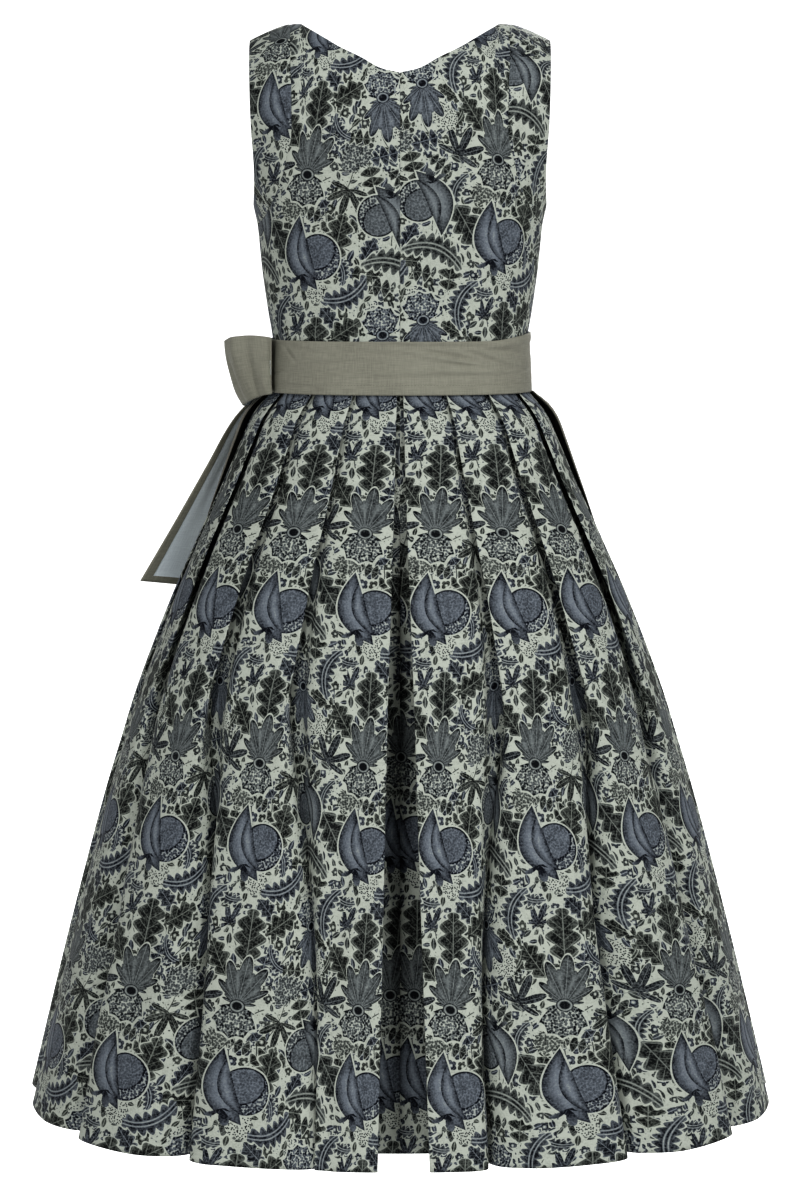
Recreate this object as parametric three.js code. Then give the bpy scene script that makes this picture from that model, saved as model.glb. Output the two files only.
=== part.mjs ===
// A sleeveless dirndl, filled out as it is worn: fitted bodice, pleated midi skirt, apron, and the
// apron's sash wound round the waist and tied in a bow at the wearer's left.
// Millimetres, +Z up. The origin lies between the shoulders, level with the top of the straps.
// The wearer faces +Y, so the back of the dress faces -Y and the wearer's right is +X.
import * as THREE from 'three';

// ---- Cloth and seams ----
const WALL = 1.4;
const SEAM_GAP = 0.3;
const SKIRT_SEAM_TRIM = 0.4; // from each raw edge, where the seam twists down a fold
const SHARPEST_MITRE = 0.65;
const SQUARENESS = 0.03; // how far a section round the body is from a true ellipse
const RIGHT = 1;
const LEFT = -1;

// ---- Bodice: depths below the shoulder ridge, half widths and depths ----
const SHOULDER_ROUND = 105; // radius in which the cloth turns over the shoulder
const SHOULDER_FALL = 18; // how much lower the outer end of the ridge is
const NECK_POINT = 118; // where the ridge starts to fall
const STRAP_END = 163;
const FALL_FADE = 150; // the fall of the ridge has died out this far down
const WAIST = 368;
// Depths of the rows of points, the same in all panels so that seams match.
const BODICE_LEVELS = [0, 7, 24, 48, 80, 118, 143, 165, 182, 195, 206, 214, 217, 240, 268, 300, 335, 368];

const TORSO = [
  { drop: 0, halfWidth: 188, back: 108, front: 74 },
  { drop: 50, halfWidth: 186, back: 110, front: 80 },
  { drop: 100, halfWidth: 182, back: 112, front: 94 },
  { drop: 150, halfWidth: 172, back: 112, front: 112 },
  { drop: 195, halfWidth: 159.5, back: 111, front: 126 },
  { drop: 216, halfWidth: 155, back: 110, front: 130 },
  { drop: 240, halfWidth: 152.5, back: 109, front: 130 },
  { drop: 265, halfWidth: 150, back: 107, front: 126 },
  { drop: 308, halfWidth: 144, back: 104, front: 110 },
  { drop: 338, halfWidth: 139, back: 103, front: 103 },
  { drop: 368, halfWidth: 136, back: 101, front: 101 },
];
const CUP = { x: 74, drop: 232, width: 40, height: 46, depth: 9 };

// Necklines: how far below the ridge the edge lies at each distance from the middle.
const BACK_NECK = [
  { x: 0, drop: 55 },
  { x: 21, drop: 50 },
  { x: 42, drop: 38 },
  { x: 64, drop: 27 },
  { x: 77, drop: 19 },
  { x: 93, drop: 9 },
  { x: 102, drop: 3.5 },
  { x: 108, drop: 0 },
  { x: 200, drop: 0 },
];
const FRONT_NECK = [
  { x: 0, drop: 178 },
  { x: 30, drop: 175 },
  { x: 60, drop: 162 },
  { x: 80, drop: 138 },
  { x: 94, drop: 96 },
  { x: 103, drop: 40 },
  { x: 108, drop: 0 },
  { x: 200, drop: 0 },
];

// Seams and armhole edges: distance from the middle at each depth.
const SIDE_BACK_SEAM = [
  { drop: 0, x: 118 },
  { drop: 118, x: 115 },
  { drop: 143, x: 120 },
  { drop: 171, x: 127.5 },
  { drop: 195, x: 139 },
  { drop: 208, x: 147 },
  { drop: 214, x: 152.6 },
  { drop: 216, x: 154.4 },
];
const BACK_ARMHOLE = [
  { drop: 0, x: 163 },
  { drop: 43, x: 162 },
  { drop: 107, x: 160 },
  { drop: 150, x: 157.5 },
  { drop: 175, x: 157.5 },
  { drop: 195, x: 159.2 },
];
const FRONT_PRINCESS_SEAM = [
  { drop: 0, x: 118 },
  { drop: 60, x: 114 },
  { drop: 120, x: 106 },
  { drop: 180, x: 96 },
  { drop: 235, x: 86 },
  { drop: 300, x: 73 },
  { drop: 368, x: 64 },
];
const FRONT_ARMHOLE = [
  { drop: 0, x: 163 },
  { drop: 45, x: 154 },
  { drop: 100, x: 147 },
  { drop: 150, x: 148 },
  { drop: 180, x: 154 },
  { drop: 195, x: 159.2 },
];
const ARMHOLE_END = 195;
const SIDE_BACK_END = 214;
const STEEPEST_SEAM = 4; // sideways for one down, where the gap is still widened to match

// ---- Skirt: one row for each section from the waist to the hem ----
// depthRatio is the front-to-back radius over the side radius, foldDepth the height of the pleats
// and open how far they have sprung from flat knife pleats to standing waves.
const PLEAT_CLOTH = 165; // cloth taken up by one pleat
const PLEATS_A_SIDE = 8;
const FOLD_GAP = 2.7; // between the middles of two layers that lie on each other
const SKIRT = [
  { drop: 368.3, halfWidth: 137.4, depthRatio: 0.75, foldDepth: 10.4, open: 0 },
  { drop: 396, halfWidth: 142, depthRatio: 0.75, foldDepth: 10.7, open: 0 },
  { drop: 408, halfWidth: 152, depthRatio: 0.755, foldDepth: 11.1, open: 0 },
  { drop: 424, halfWidth: 163.5, depthRatio: 0.76, foldDepth: 11.8, open: 0 },
  { drop: 450, halfWidth: 175, depthRatio: 0.77, foldDepth: 13, open: 0 },
  { drop: 492, halfWidth: 193, depthRatio: 0.785, foldDepth: 15, open: 0 },
  { drop: 548, halfWidth: 219, depthRatio: 0.81, foldDepth: 17, open: 0.02 },
  { drop: 622, halfWidth: 252, depthRatio: 0.835, foldDepth: 20, open: 0.1 },
  { drop: 720, halfWidth: 290, depthRatio: 0.86, foldDepth: 23, open: 0.3 },
  { drop: 785, halfWidth: 310.5, depthRatio: 0.869, foldDepth: 24.6, open: 0.48 },
  { drop: 850, halfWidth: 330, depthRatio: 0.875, foldDepth: 26, open: 0.65 },
  { drop: 1000, halfWidth: 370, depthRatio: 0.885, foldDepth: 28, open: 0.92 },
  { drop: 1170, halfWidth: 412, depthRatio: 0.885, foldDepth: 28, open: 1 },
];
const MIDDLE_SECTION = 700; // depth at which a fold's middle place is given

// Where each fold lies, counted in pleats from the centre back, and how deep it is.
const RIGHT_FOLDS = [
  { waist: 0.06, middle: 0.14, hem: 0.2, depth: 1 },
  { waist: 1.02, middle: 1.08, hem: 1.08, depth: 1 },
  { waist: 2, middle: 2, hem: 2.12, depth: 1.04 },
  { waist: 2.94, middle: 2.94, hem: 3.08, depth: 1.04 },
  { waist: 3.97, middle: 3.96, hem: 4.06, depth: 0.98 },
  { waist: 5, middle: 5.03, hem: 4.98, depth: 1 },
  { waist: 6, middle: 6.04, hem: 6.08, depth: 0.9 },
  { waist: 7, middle: 6.96, hem: 6.92, depth: 1 },
];
const LEFT_FOLDS = [
  { waist: 0.06, middle: 0.12, hem: 0.15, depth: 1 },
  { waist: 1.03, middle: 1.17, hem: 1.1, depth: 0.96 },
  { waist: 2, middle: 2.02, hem: 2.04, depth: 1.05 },
  { waist: 2.96, middle: 3, hem: 3.02, depth: 1 },
  { waist: 4, middle: 3.94, hem: 4.04, depth: 1.04 },
  { waist: 5, middle: 4.96, hem: 5.08, depth: 0.95 },
  { waist: 6, middle: 5.98, hem: 5.94, depth: 1 },
  { waist: 7, middle: 7.05, hem: 7.04, depth: 0.96 },
];
const CENTRE_UNDERLAP = { waist: 40, hem: 48 }; // how far the inverted pleat reaches under its edges

// One pleat's points. reach runs along the cloth's flat knife pleat from fold to inner fold and
// back; across and rise give the standing wave, in pleats and in fold depths.
const PLEAT_POINTS = [
  { leg: 'face', reach: 0, across: 0, rise: 1 },
  { leg: 'face', reach: 0.25, across: 0.14, rise: 0.99 },
  { leg: 'face', reach: 0.5, across: 0.37, rise: 0.92 },
  { leg: 'face', reach: 0.75, across: 0.46, rise: 0.5 },
  { leg: 'face', reach: 1, across: 0.54, rise: 0.06 },
  { leg: 'return', reach: 0, across: 0.61, rise: 0.02 },
  { leg: 'return', reach: 0.5, across: 0.8, rise: 0.42 },
  { leg: 'return', reach: 1, across: 0.955, rise: 0.93 },
];
const SIDE_SEAM_PLEAT = 3; // the side seam lies in this pleat's inner fold
const SIDE_SEAM_POINT = 6;

// ---- Sash ----
const SASH_WALL = 1.6;
const SASH_SEGMENTS = 72;
const SASH = [
  { drop: 339, halfWidth: 140.5, halfDepth: 104.9 },
  { drop: 368, halfWidth: 142.6, halfDepth: 106.4 },
  { drop: 396, halfWidth: 143.6, halfDepth: 107.9 },
];

// ---- Bow: angles round the waist from the centre back, in degrees ----
const KNOT = { angle: 112, width: 30, height: 44, thickness: 17, drop: 375.4, out: 1.4 };
const LOOP = [
  { angle: 7.5, out: 9, top: 352, bottom: 398, lean: 0 },
  { angle: 12, out: 27, top: 343, bottom: 408, lean: 6 },
  { angle: 20, out: 43, top: 338, bottom: 411, lean: 18 },
  { angle: 28, out: 49, top: 337, bottom: 408, lean: 22 },
  { angle: 35, out: 42, top: 337, bottom: 402, lean: 20 },
  { angle: 38.5, out: 26, top: 337, bottom: 396, lean: 12 },
  { angle: 37, out: 10, top: 338, bottom: 392, lean: 4 },
  { angle: 31, out: 3.6, top: 339, bottom: 392, lean: 0 },
  { angle: 22, out: 2.8, top: 340, bottom: 393, lean: 0 },
  { angle: 14, out: 2.8, top: 344, bottom: 394, lean: 0 },
  { angle: 7.5, out: 3.6, top: 352, bottom: 396, lean: 0 },
];
const LOOP_STEPS = 26;

// Tails: the two long edges at each depth.
const BACK_TAIL = [
  { drop: 398.2, outerX: -149, outerY: 36, innerX: -144, innerY: 48 },
  { drop: 403, outerX: -159, outerY: 35, innerX: -150, innerY: 57 },
  { drop: 430, outerX: -184.5, outerY: 24, innerX: -169, innerY: 68 },
  { drop: 480, outerX: -213, outerY: 18, innerX: -191, innerY: 77 },
  { drop: 545, outerX: -249.5, outerY: 13, innerX: -219, innerY: 88 },
  { drop: 611, outerX: -287, outerY: 10, innerX: -251, innerY: 98 },
];
const FRONT_TAIL = [
  { drop: 398.2, outerX: -143, outerY: 51, innerX: -139, innerY: 61 },
  { drop: 412, outerX: -153, outerY: 64, innerX: -147.5, innerY: 75 },
  { drop: 430, outerX: -158, outerY: 84, innerX: -130, innerY: 120 },
  { drop: 480, outerX: -171, outerY: 107, innerX: -133, innerY: 149 },
  { drop: 545, outerX: -187, outerY: 138, innerX: -141, innerY: 185 },
  { drop: 628, outerX: -211, outerY: 172, innerX: -154, innerY: 223 },
];
const TAIL_COLUMNS = 4;

// ---- Apron: edge angle from the centre front, distance outside the pleats, depth of its flutes ----
const APRON_FLUTES = 12;
const POINTS_A_FLUTE = 4;
const APRON = [
  { drop: 396.5, edge: 84, out: 1.6, flute: 0 },
  { drop: 408, edge: 84, out: 6, flute: 1.5 },
  { drop: 424, edge: 84, out: 6.5, flute: 2 },
  { drop: 450, edge: 83, out: 5, flute: 3 },
  { drop: 492, edge: 79, out: 3.4, flute: 4 },
  { drop: 548, edge: 73, out: 2.6, flute: 5 },
  { drop: 622, edge: 68, out: 2.4, flute: 6.5 },
  { drop: 720, edge: 62, out: 2.4, flute: 8 },
  { drop: 850, edge: 57, out: 2.4, flute: 10 },
  { drop: 1000, edge: 53, out: 2.4, flute: 12 },
  { drop: 1105, edge: 51, out: 2.4, flute: 13 },
];

const COLOURS = { print: '#7f8577', sash: '#807f70', apron: '#716f65' };

// ---- Reading the tables ----

// A smooth curve through one column of a table, read at a place along its key column.
function read(table, column, place, key = 'drop') {
  const last = table.length - 1;
  if (place <= table[0][key]) return table[0][column];
  if (place >= table[last][key]) return table[last][column];
  const i = table.findIndex((row) => row[key] > place) - 1;
  const [a, b] = [table[i], table[i + 1]];
  const before = table[Math.max(i - 1, 0)];
  const after = table[Math.min(i + 2, last)];
  const span = b[key] - a[key];
  const f = (place - a[key]) / span;
  const slopeA = ((b[column] - before[column]) / (b[key] - before[key])) * span;
  const slopeB = ((after[column] - a[column]) / (after[key] - a[key])) * span;
  const f2 = f * f;
  const f3 = f2 * f;
  return (2 * f3 - 3 * f2 + 1) * a[column] + (f3 - 2 * f2 + f) * slopeA
    + (3 * f2 - 2 * f3) * b[column] + (f3 - f2) * slopeB;
}

const mix = (a, b, f) => a + (b - a) * f;
const radians = THREE.MathUtils.degToRad;
const shares = (count) => Array.from({ length: count + 1 }, (_, i) => i / count);

// ---- Solids from grids of points ----

// Closes an outer and an inner grid of the same shape into one wall. A ring's columns join up.
function wallBetween(outer, inner, ring = false) {
  const rows = outer.length;
  const columns = outer[0].length;
  const points = [...outer.flat(), ...inner.flat()];
  const far = rows * columns;
  const faces = [];
  const quad = (a, b, c, d) => faces.push(a, b, c, a, c, d);
  const spans = ring ? columns : columns - 1;
  for (let i = 0; i < rows - 1; i++) {
    for (let j = 0; j < spans; j++) {
      const a = i * columns + j;
      const b = i * columns + ((j + 1) % columns);
      quad(a, b, b + columns, a + columns);
      quad(far + a, far + a + columns, far + b + columns, far + b);
    }
  }
  for (let j = 0; j < spans; j++) {
    const next = (j + 1) % columns;
    const foot = (rows - 1) * columns;
    quad(far + j, far + next, next, j);
    quad(foot + j, foot + next, far + foot + next, far + foot + j);
  }
  for (let i = 0; i < rows - 1 && !ring; i++) {
    const a = i * columns;
    const b = a + columns - 1;
    quad(a, a + columns, far + a + columns, far + a);
    quad(far + b, far + b + columns, b + columns, b);
  }
  const geometry = new THREE.BufferGeometry().setFromPoints(points);
  geometry.setIndex(faces);
  return facingOut(geometry);
}

// Turns every face over when the solid is inside out.
function facingOut(geometry) {
  const p = geometry.attributes.position;
  const index = geometry.index.array;
  const corner = (i) => new THREE.Vector3().fromBufferAttribute(p, index[i]);
  let volume = 0;
  for (let i = 0; i < index.length; i += 3) {
    volume += corner(i).dot(corner(i + 1).cross(corner(i + 2)));
  }
  if (volume < 0) {
    for (let i = 0; i < index.length; i += 3) {
      [index[i], index[i + 1]] = [index[i + 1], index[i]];
    }
  }
  return geometry;
}

// Gives a free sheet its thickness along its own normals.
function thickened(grid, wall) {
  const at = (i, j) => grid[Math.min(Math.max(i, 0), grid.length - 1)][Math.min(Math.max(j, 0), grid[0].length - 1)];
  const offset = (side) => grid.map((row, i) => row.map((point, j) => {
    const along = at(i, j + 1).clone().sub(at(i, j - 1));
    const down = at(i + 1, j).clone().sub(at(i - 1, j));
    return point.clone().addScaledVector(along.cross(down).normalize(), side * wall / 2);
  }));
  return wallBetween(offset(1), offset(-1));
}

// Shifts level sections to one side in their own planes, mitred so that tight folds stay open.
function shiftedSections(sections, shift, ring = false) {
  return sections.map((section) => section.map((point, i) => {
    const count = section.length;
    const before = ring ? section[(i + count - 1) % count] : section[Math.max(i - 1, 0)];
    const after = ring ? section[(i + 1) % count] : section[Math.min(i + 1, count - 1)];
    const a = new THREE.Vector2(point.x - before.x, point.y - before.y).normalize();
    const b = new THREE.Vector2(after.x - point.x, after.y - point.y).normalize();
    const along = a.clone().add(b).normalize();
    const inside = a.length() && b.length();
    const reach = shift / (inside ? Math.max(along.dot(b), SHARPEST_MITRE) : 1);
    return new THREE.Vector3(point.x + along.y * reach, point.y - along.x * reach, point.z);
  }));
}

const sectionWall = (sections, wall, ring = false) => wallBetween(
  shiftedSections(sections, wall / 2, ring),
  shiftedSections(sections, -wall / 2, ring),
  ring,
);

// ---- The body that the bodice is cut to ----

// Round the body from the centre back (0) over the side (90 degrees) to the centre front (180).
function aroundBody(angle, halfWidth, halfDepth) {
  const k = SQUARENESS;
  return {
    x: (halfWidth * (Math.sin(angle) + k * Math.sin(3 * angle))) / (1 - k),
    y: (-halfDepth * (Math.cos(angle) - k * Math.cos(3 * angle))) / (1 - k),
  };
}

// The angle at which the body is x wide, up to the side.
function angleAt(x, halfWidth) {
  let [low, high] = [0, Math.PI / 2];
  for (let i = 0; i < 40; i++) {
    const middle = (low + high) / 2;
    if (aroundBody(middle, halfWidth, 1).x < x) low = middle;
    else high = middle;
  }
  return (low + high) / 2;
}

// The cloth's way from the shoulder ridge: over the round, then straight down.
const ROUND_LENGTH = (SHOULDER_ROUND * Math.PI) / 2;
const wayTo = (drop) => (drop < SHOULDER_ROUND
  ? SHOULDER_ROUND * Math.acos(Math.min(1 - drop / SHOULDER_ROUND, 1))
  : ROUND_LENGTH + drop - SHOULDER_ROUND);
const dropAfter = (way) => (way < ROUND_LENGTH
  ? SHOULDER_ROUND * (1 - Math.cos(way / SHOULDER_ROUND))
  : SHOULDER_ROUND + way - ROUND_LENGTH);

function bodyPoint(face, angle, way) {
  const drop = dropAfter(way);
  const depth = read(TORSO, face, drop) * Math.sin(Math.min(way, ROUND_LENGTH) / SHOULDER_ROUND);
  const place = aroundBody(angle, read(TORSO, 'halfWidth', drop), depth);
  const slope = Math.max((place.x - NECK_POINT) / (STRAP_END - NECK_POINT), 0) ** 1.3;
  const fall = SHOULDER_FALL * slope * Math.max(1 - drop / FALL_FADE, 0);
  const cup = CUP.depth * Math.exp(-(((place.x - CUP.x) / CUP.width) ** 2) - (((drop - CUP.drop) / CUP.height) ** 2));
  const y = face === 'back' ? place.y : -place.y + cup;
  return new THREE.Vector3(place.x, y, -drop - fall);
}

function bodyNormal(face, angle, way) {
  const step = 0.01;
  const turn = bodyPoint(face, angle + step, way).sub(bodyPoint(face, angle - step, way));
  const down = bodyPoint(face, angle, way + 1).sub(bodyPoint(face, angle, Math.max(way - 1, 0)));
  const normal = turn.cross(down).normalize();
  return face === 'back' ? normal.negate() : normal;
}

// ---- Bodice panels ----

// A panel between two seams, each given as its distance from the middle at a depth. Its rows follow
// the neckline at first and have settled level at the depth `settled`.
function bodicePanel({ face, side, inner, outer, neck, foot, columns, settled = foot, crowd = 1 }) {
  const seamTurn = (seam, drop) => {
    const halfWidth = read(TORSO, 'halfWidth', drop);
    return angleAt(Math.min(seam(drop), halfWidth), halfWidth);
  };
  const seamAngle = (seam, drop, inset) => {
    const halfWidth = read(TORSO, 'halfWidth', drop);
    const slant = ((seamTurn(seam, drop + 0.5) - seamTurn(seam, drop - 0.5)) * halfWidth);
    return seamTurn(seam, drop) + (inset * Math.hypot(1, Math.min(slant, STEEPEST_SEAM))) / halfWidth;
  };
  const angle = (share, drop) => mix(
    seamAngle(inner, drop, SEAM_GAP / 2),
    seamAngle(outer, drop, -SEAM_GAP / 2),
    share,
  );
  const edgeDrop = (share) => {
    let drop = 0;
    for (let i = 0; i < 12; i++) {
      const x = aroundBody(angle(share, drop), read(TORSO, 'halfWidth', drop), 1).x;
      drop = mix(drop, read(neck, 'drop', x, 'x'), 0.6);
    }
    return drop;
  };
  const grids = { outer: [], inner: [] };
  const footWay = wayTo(foot);
  for (const level of BODICE_LEVELS.filter((drop) => drop <= foot)) {
    const outerRow = [];
    const innerRow = [];
    for (const across of shares(columns)) {
      const share = 1 - (1 - across) ** crowd;
      const start = wayTo(edgeDrop(share));
      const levelWay = wayTo(level) + start * Math.max(1 - wayTo(level) / wayTo(settled), 0);
      const way = THREE.MathUtils.clamp(levelWay, start + SEAM_GAP / 2, footWay - SEAM_GAP / 2);
      const turn = angle(share, dropAfter(way));
      const point = bodyPoint(face, turn, way);
      const normal = bodyNormal(face, turn, way);
      const backed = point.clone().addScaledVector(normal, -WALL);
      outerRow.push(point.setX(point.x * side));
      innerRow.push(backed.setX(backed.x * side));
    }
    grids.outer.push(outerRow);
    grids.inner.push(innerRow);
  }
  return wallBetween(grids.outer, grids.inner);
}

const middleSeam = () => 0;
const NO_NECK = [{ x: 0, drop: 0 }, { x: 1, drop: 0 }];
const sideBackSeam = (drop) => (drop < 216 ? read(SIDE_BACK_SEAM, 'x', drop) : Infinity);
const frontPrincessSeam = (drop) => read(FRONT_PRINCESS_SEAM, 'x', drop);
const backArmhole = (drop) => (drop < ARMHOLE_END ? read(BACK_ARMHOLE, 'x', drop) : Infinity);
const frontArmhole = (drop) => (drop < ARMHOLE_END ? read(FRONT_ARMHOLE, 'x', drop) : Infinity);

const backPanel = (side) => bodicePanel({
  face: 'back', side, inner: middleSeam, outer: sideBackSeam, neck: BACK_NECK, foot: WAIST,
  columns: 8, settled: 200, crowd: 1.3,
});
const sideBackPanel = (side) => bodicePanel({
  face: 'back', side, inner: sideBackSeam, outer: backArmhole, neck: NO_NECK, foot: SIDE_BACK_END, columns: 3,
});
const frontPanel = (side) => bodicePanel({
  face: 'front', side, inner: middleSeam, outer: frontPrincessSeam, neck: FRONT_NECK, foot: WAIST,
  columns: 8, crowd: 1.6,
});
const sideFrontPanel = (side) => bodicePanel({
  face: 'front', side, inner: frontPrincessSeam, outer: frontArmhole, neck: NO_NECK, foot: WAIST, columns: 6,
});

// ---- Skirt ----

// Distances round half a section, so that a fold can be placed by its length along the waist or hem.
function halfRing(halfWidth, halfDepth) {
  const steps = 90;
  const marks = [{ length: 0, angle: 0 }];
  for (let i = 1; i <= steps; i++) {
    const angle = (Math.PI * i) / steps;
    const a = aroundBody(angle, halfWidth, halfDepth);
    const b = aroundBody(marks[i - 1].angle, halfWidth, halfDepth);
    marks.push({ length: marks[i - 1].length + Math.hypot(a.x - b.x, a.y - b.y), angle });
  }
  const place = (length, out) => {
    const past = marks.findIndex((mark) => mark.length > length);
    const i = past < 0 ? steps : Math.max(past, 1);
    const [a, b] = [marks[i - 1], marks[i]];
    const angle = mix(a.angle, b.angle, (length - a.length) / (b.length - a.length));
    const on = aroundBody(angle, halfWidth, halfDepth);
    const ahead = aroundBody(angle + 0.01, halfWidth, halfDepth);
    const back = aroundBody(angle - 0.01, halfWidth, halfDepth);
    const along = new THREE.Vector2(ahead.x - back.x, ahead.y - back.y).normalize();
    return { x: on.x + along.y * out, y: on.y - along.x * out };
  };
  return { length: marks[steps].length, place };
}

// Where a fold lies at a depth, in pleats from the centre back.
function foldPlace(fold, drop) {
  const [waist, hem] = [SKIRT[0].drop, SKIRT[SKIRT.length - 1].drop];
  if (drop < MIDDLE_SECTION) return mix(fold.waist, fold.middle, (drop - waist) / (MIDDLE_SECTION - waist));
  return mix(fold.middle, fold.hem, (drop - MIDDLE_SECTION) / (hem - MIDDLE_SECTION));
}

// How far a flat knife pleat of this width reaches under the next one.
function underlap(width, depth) {
  const spare = (PLEAT_CLOTH ** 2 - width ** 2) / (2 * PLEAT_CLOTH);
  const root = Math.sqrt(Math.max(width ** 2 + 2 * PLEAT_CLOTH * (spare - depth ** 2 / spare), 0));
  return Math.min((root - width) / 2, width - 4);
}

// One pleat from its fold to the fold of the next: { along, out } from the start of its face.
function pleatPoints(width, depth, nextDepth, open) {
  const under = underlap(width, depth);
  return PLEAT_POINTS.map(({ leg, reach, across, rise }) => {
    const flat = leg === 'face'
      ? { along: (width + under) * reach, out: depth * (1 - reach) }
      : { along: width + under * (1 - reach), out: mix(FOLD_GAP, nextDepth - FOLD_GAP, reach) };
    const crest = leg === 'face' ? depth : nextDepth;
    return { along: mix(flat.along, width * across, open), out: mix(flat.out, crest * rise, open) };
  });
}

// Half a section from the centre back to the centre front.
function halfSection(row, folds) {
  const depths = folds.map((fold) => fold.depth * row.foldDepth);
  const ring = halfRing(
    row.halfWidth - row.foldDepth - WALL / 2,
    row.halfWidth * row.depthRatio - row.foldDepth - WALL / 2,
  );
  const pleat = ring.length / PLEATS_A_SIDE;
  const starts = folds.map((fold) => foldPlace(fold, row.drop) * pleat);
  const hemShare = (row.drop - WAIST) / (SKIRT[SKIRT.length - 1].drop - WAIST);
  const lap = mix(CENTRE_UNDERLAP.waist, CENTRE_UNDERLAP.hem, Math.max(hemShare, 0));
  const points = [
    { along: 0, out: 0 },
    { along: (starts[0] + lap) / 2, out: 0 },
    { along: starts[0] + lap, out: 0 },
    { along: starts[0] + lap, out: FOLD_GAP },
    { along: starts[0] + lap / 2, out: depths[0] / 2 },
    { along: starts[0], out: depths[0] - FOLD_GAP },
  ];
  for (let k = 0; k < PLEATS_A_SIDE - 1; k++) {
    const width = starts[k + 1] - starts[k];
    for (const point of pleatPoints(width, depths[k], depths[k + 1], row.open)) {
      points.push({ along: starts[k] + point.along, out: point.out });
    }
  }
  const last = starts[PLEATS_A_SIDE - 1];
  for (const share of shares(4)) {
    points.push({ along: mix(last, ring.length, share), out: depths[PLEATS_A_SIDE - 1] });
  }
  return points.map(({ along, out }) => ring.place(along, out));
}

const CENTRE_POINTS = 6;
const SIDE_SEAM = CENTRE_POINTS + SIDE_SEAM_PLEAT * PLEAT_POINTS.length + SIDE_SEAM_POINT;

// A skirt panel between two points of the half section, its raw edges half a seam gap back.
function skirtPanel(side, folds, first, last) {
  const halves = SKIRT.map((row) => halfSection(row, folds)
    .map(({ x, y }) => new THREE.Vector3(x * side, y, -row.drop)));
  const cut = (shift) => shiftedSections(halves, shift).map((half) => {
    const section = half.slice(first, last);
    const trim = (end, next) => end.add(next.clone().sub(end).setLength(SKIRT_SEAM_TRIM));
    trim(section[0], section[1]);
    trim(section[section.length - 1], section[section.length - 2]);
    return section;
  });
  return wallBetween(cut(WALL / 2), cut(-WALL / 2));
}

const backSkirt = (side, folds) => skirtPanel(side, folds, 0, SIDE_SEAM + 1);
const frontSkirt = (side, folds) => skirtPanel(side, folds, SIDE_SEAM, undefined);

// ---- Sash and bow ----

function sashBand() {
  const sections = SASH.map((row) => shares(SASH_SEGMENTS).slice(0, -1).map((share) => {
    const { x, y } = aroundBody(share * 2 * Math.PI, row.halfWidth, row.halfDepth);
    return new THREE.Vector3(x, y, -row.drop);
  }));
  return sectionWall(sections, SASH_WALL, true);
}

// A point outside the sash at the wearer's left, by its angle from the centre back.
function besideSash(angle, out, drop) {
  const row = SASH[1];
  const { x, y } = aroundBody(radians(angle), row.halfWidth + SASH_WALL / 2, row.halfDepth + SASH_WALL / 2);
  const on = new THREE.Vector3(-x, y, -drop);
  const outward = new THREE.Vector3(-x / row.halfWidth ** 2, y / row.halfDepth ** 2, 0).normalize();
  return on.addScaledVector(outward, out);
}

// A loop of the bow: a strip that leaves the knot, turns round and comes back along the sash.
function bowLoop(direction) {
  const edge = (height) => new THREE.CatmullRomCurve3(LOOP.map((row) => {
    const lean = row.lean * height ** 2;
    return besideSash(KNOT.angle + direction * row.angle, row.out - lean, mix(row.top, row.bottom, height));
  }), false, 'centripetal').getPoints(LOOP_STEPS);
  return thickened([edge(0), edge(0.5), edge(1)], SASH_WALL);
}

// The knot: a short wrap of sash, rounded over its front.
function bowKnot() {
  const knot = new THREE.SphereGeometry(1, 14, 10);
  knot.deleteAttribute('normal');
  knot.deleteAttribute('uv');
  const centre = besideSash(KNOT.angle, KNOT.thickness / 2 + KNOT.out, KNOT.drop);
  const outward = besideSash(KNOT.angle, 1, KNOT.drop).sub(besideSash(KNOT.angle, 0, KNOT.drop));
  const sideways = new THREE.Vector3(-outward.y, outward.x, 0);
  const bulge = (value) => Math.sign(value) * Math.abs(value) ** 0.6;
  const p = knot.attributes.position;
  const points = Array.from({ length: p.count }, (_, i) => centre.clone()
    .addScaledVector(sideways, (bulge(p.getX(i)) * KNOT.width) / 2)
    .addScaledVector(outward, (bulge(p.getY(i)) * KNOT.thickness) / 2)
    .add(new THREE.Vector3(0, 0, (bulge(p.getZ(i)) * KNOT.height) / 2)));
  const solid = new THREE.BufferGeometry().setFromPoints(points);
  solid.setIndex(knot.index);
  return facingOut(solid);
}

function bowTail(table) {
  return thickened(table.map((row) => shares(TAIL_COLUMNS).map((share) => new THREE.Vector3(
    mix(row.outerX, row.innerX, share),
    mix(row.outerY, row.innerY, share),
    -row.drop,
  ))), SASH_WALL);
}

// ---- Apron ----

function apron() {
  const count = APRON_FLUTES * POINTS_A_FLUTE;
  return sectionWall(APRON.map((row) => {
    const halfWidth = read(SKIRT, 'halfWidth', row.drop);
    const halfDepth = halfWidth * read(SKIRT, 'depthRatio', row.drop);
    return shares(count).map((share) => {
      const wave = (1 - Math.cos(share * APRON_FLUTES * 2 * Math.PI)) / 2;
      const out = row.out + row.flute * wave;
      const angle = Math.PI + radians(mix(-row.edge, row.edge, share));
      const { x, y } = aroundBody(angle, halfWidth + out, halfDepth + out);
      return new THREE.Vector3(x, y, -row.drop);
    });
  }), WALL);
}

// ---- The dress ----

const cloth = (color, roughness) => ({ color, roughness, metalness: 0 });
const print = cloth(COLOURS.print, 0.75);
const sashCloth = cloth(COLOURS.sash, 0.85);
const apronCloth = cloth(COLOURS.apron, 0.85);

const group = new THREE.Group();

function add(name, geometry, finish) {
  const mesh = new THREE.Mesh(geometry, new THREE.MeshStandardMaterial(finish));
  mesh.name = name;
  group.add(mesh);
}

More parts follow.
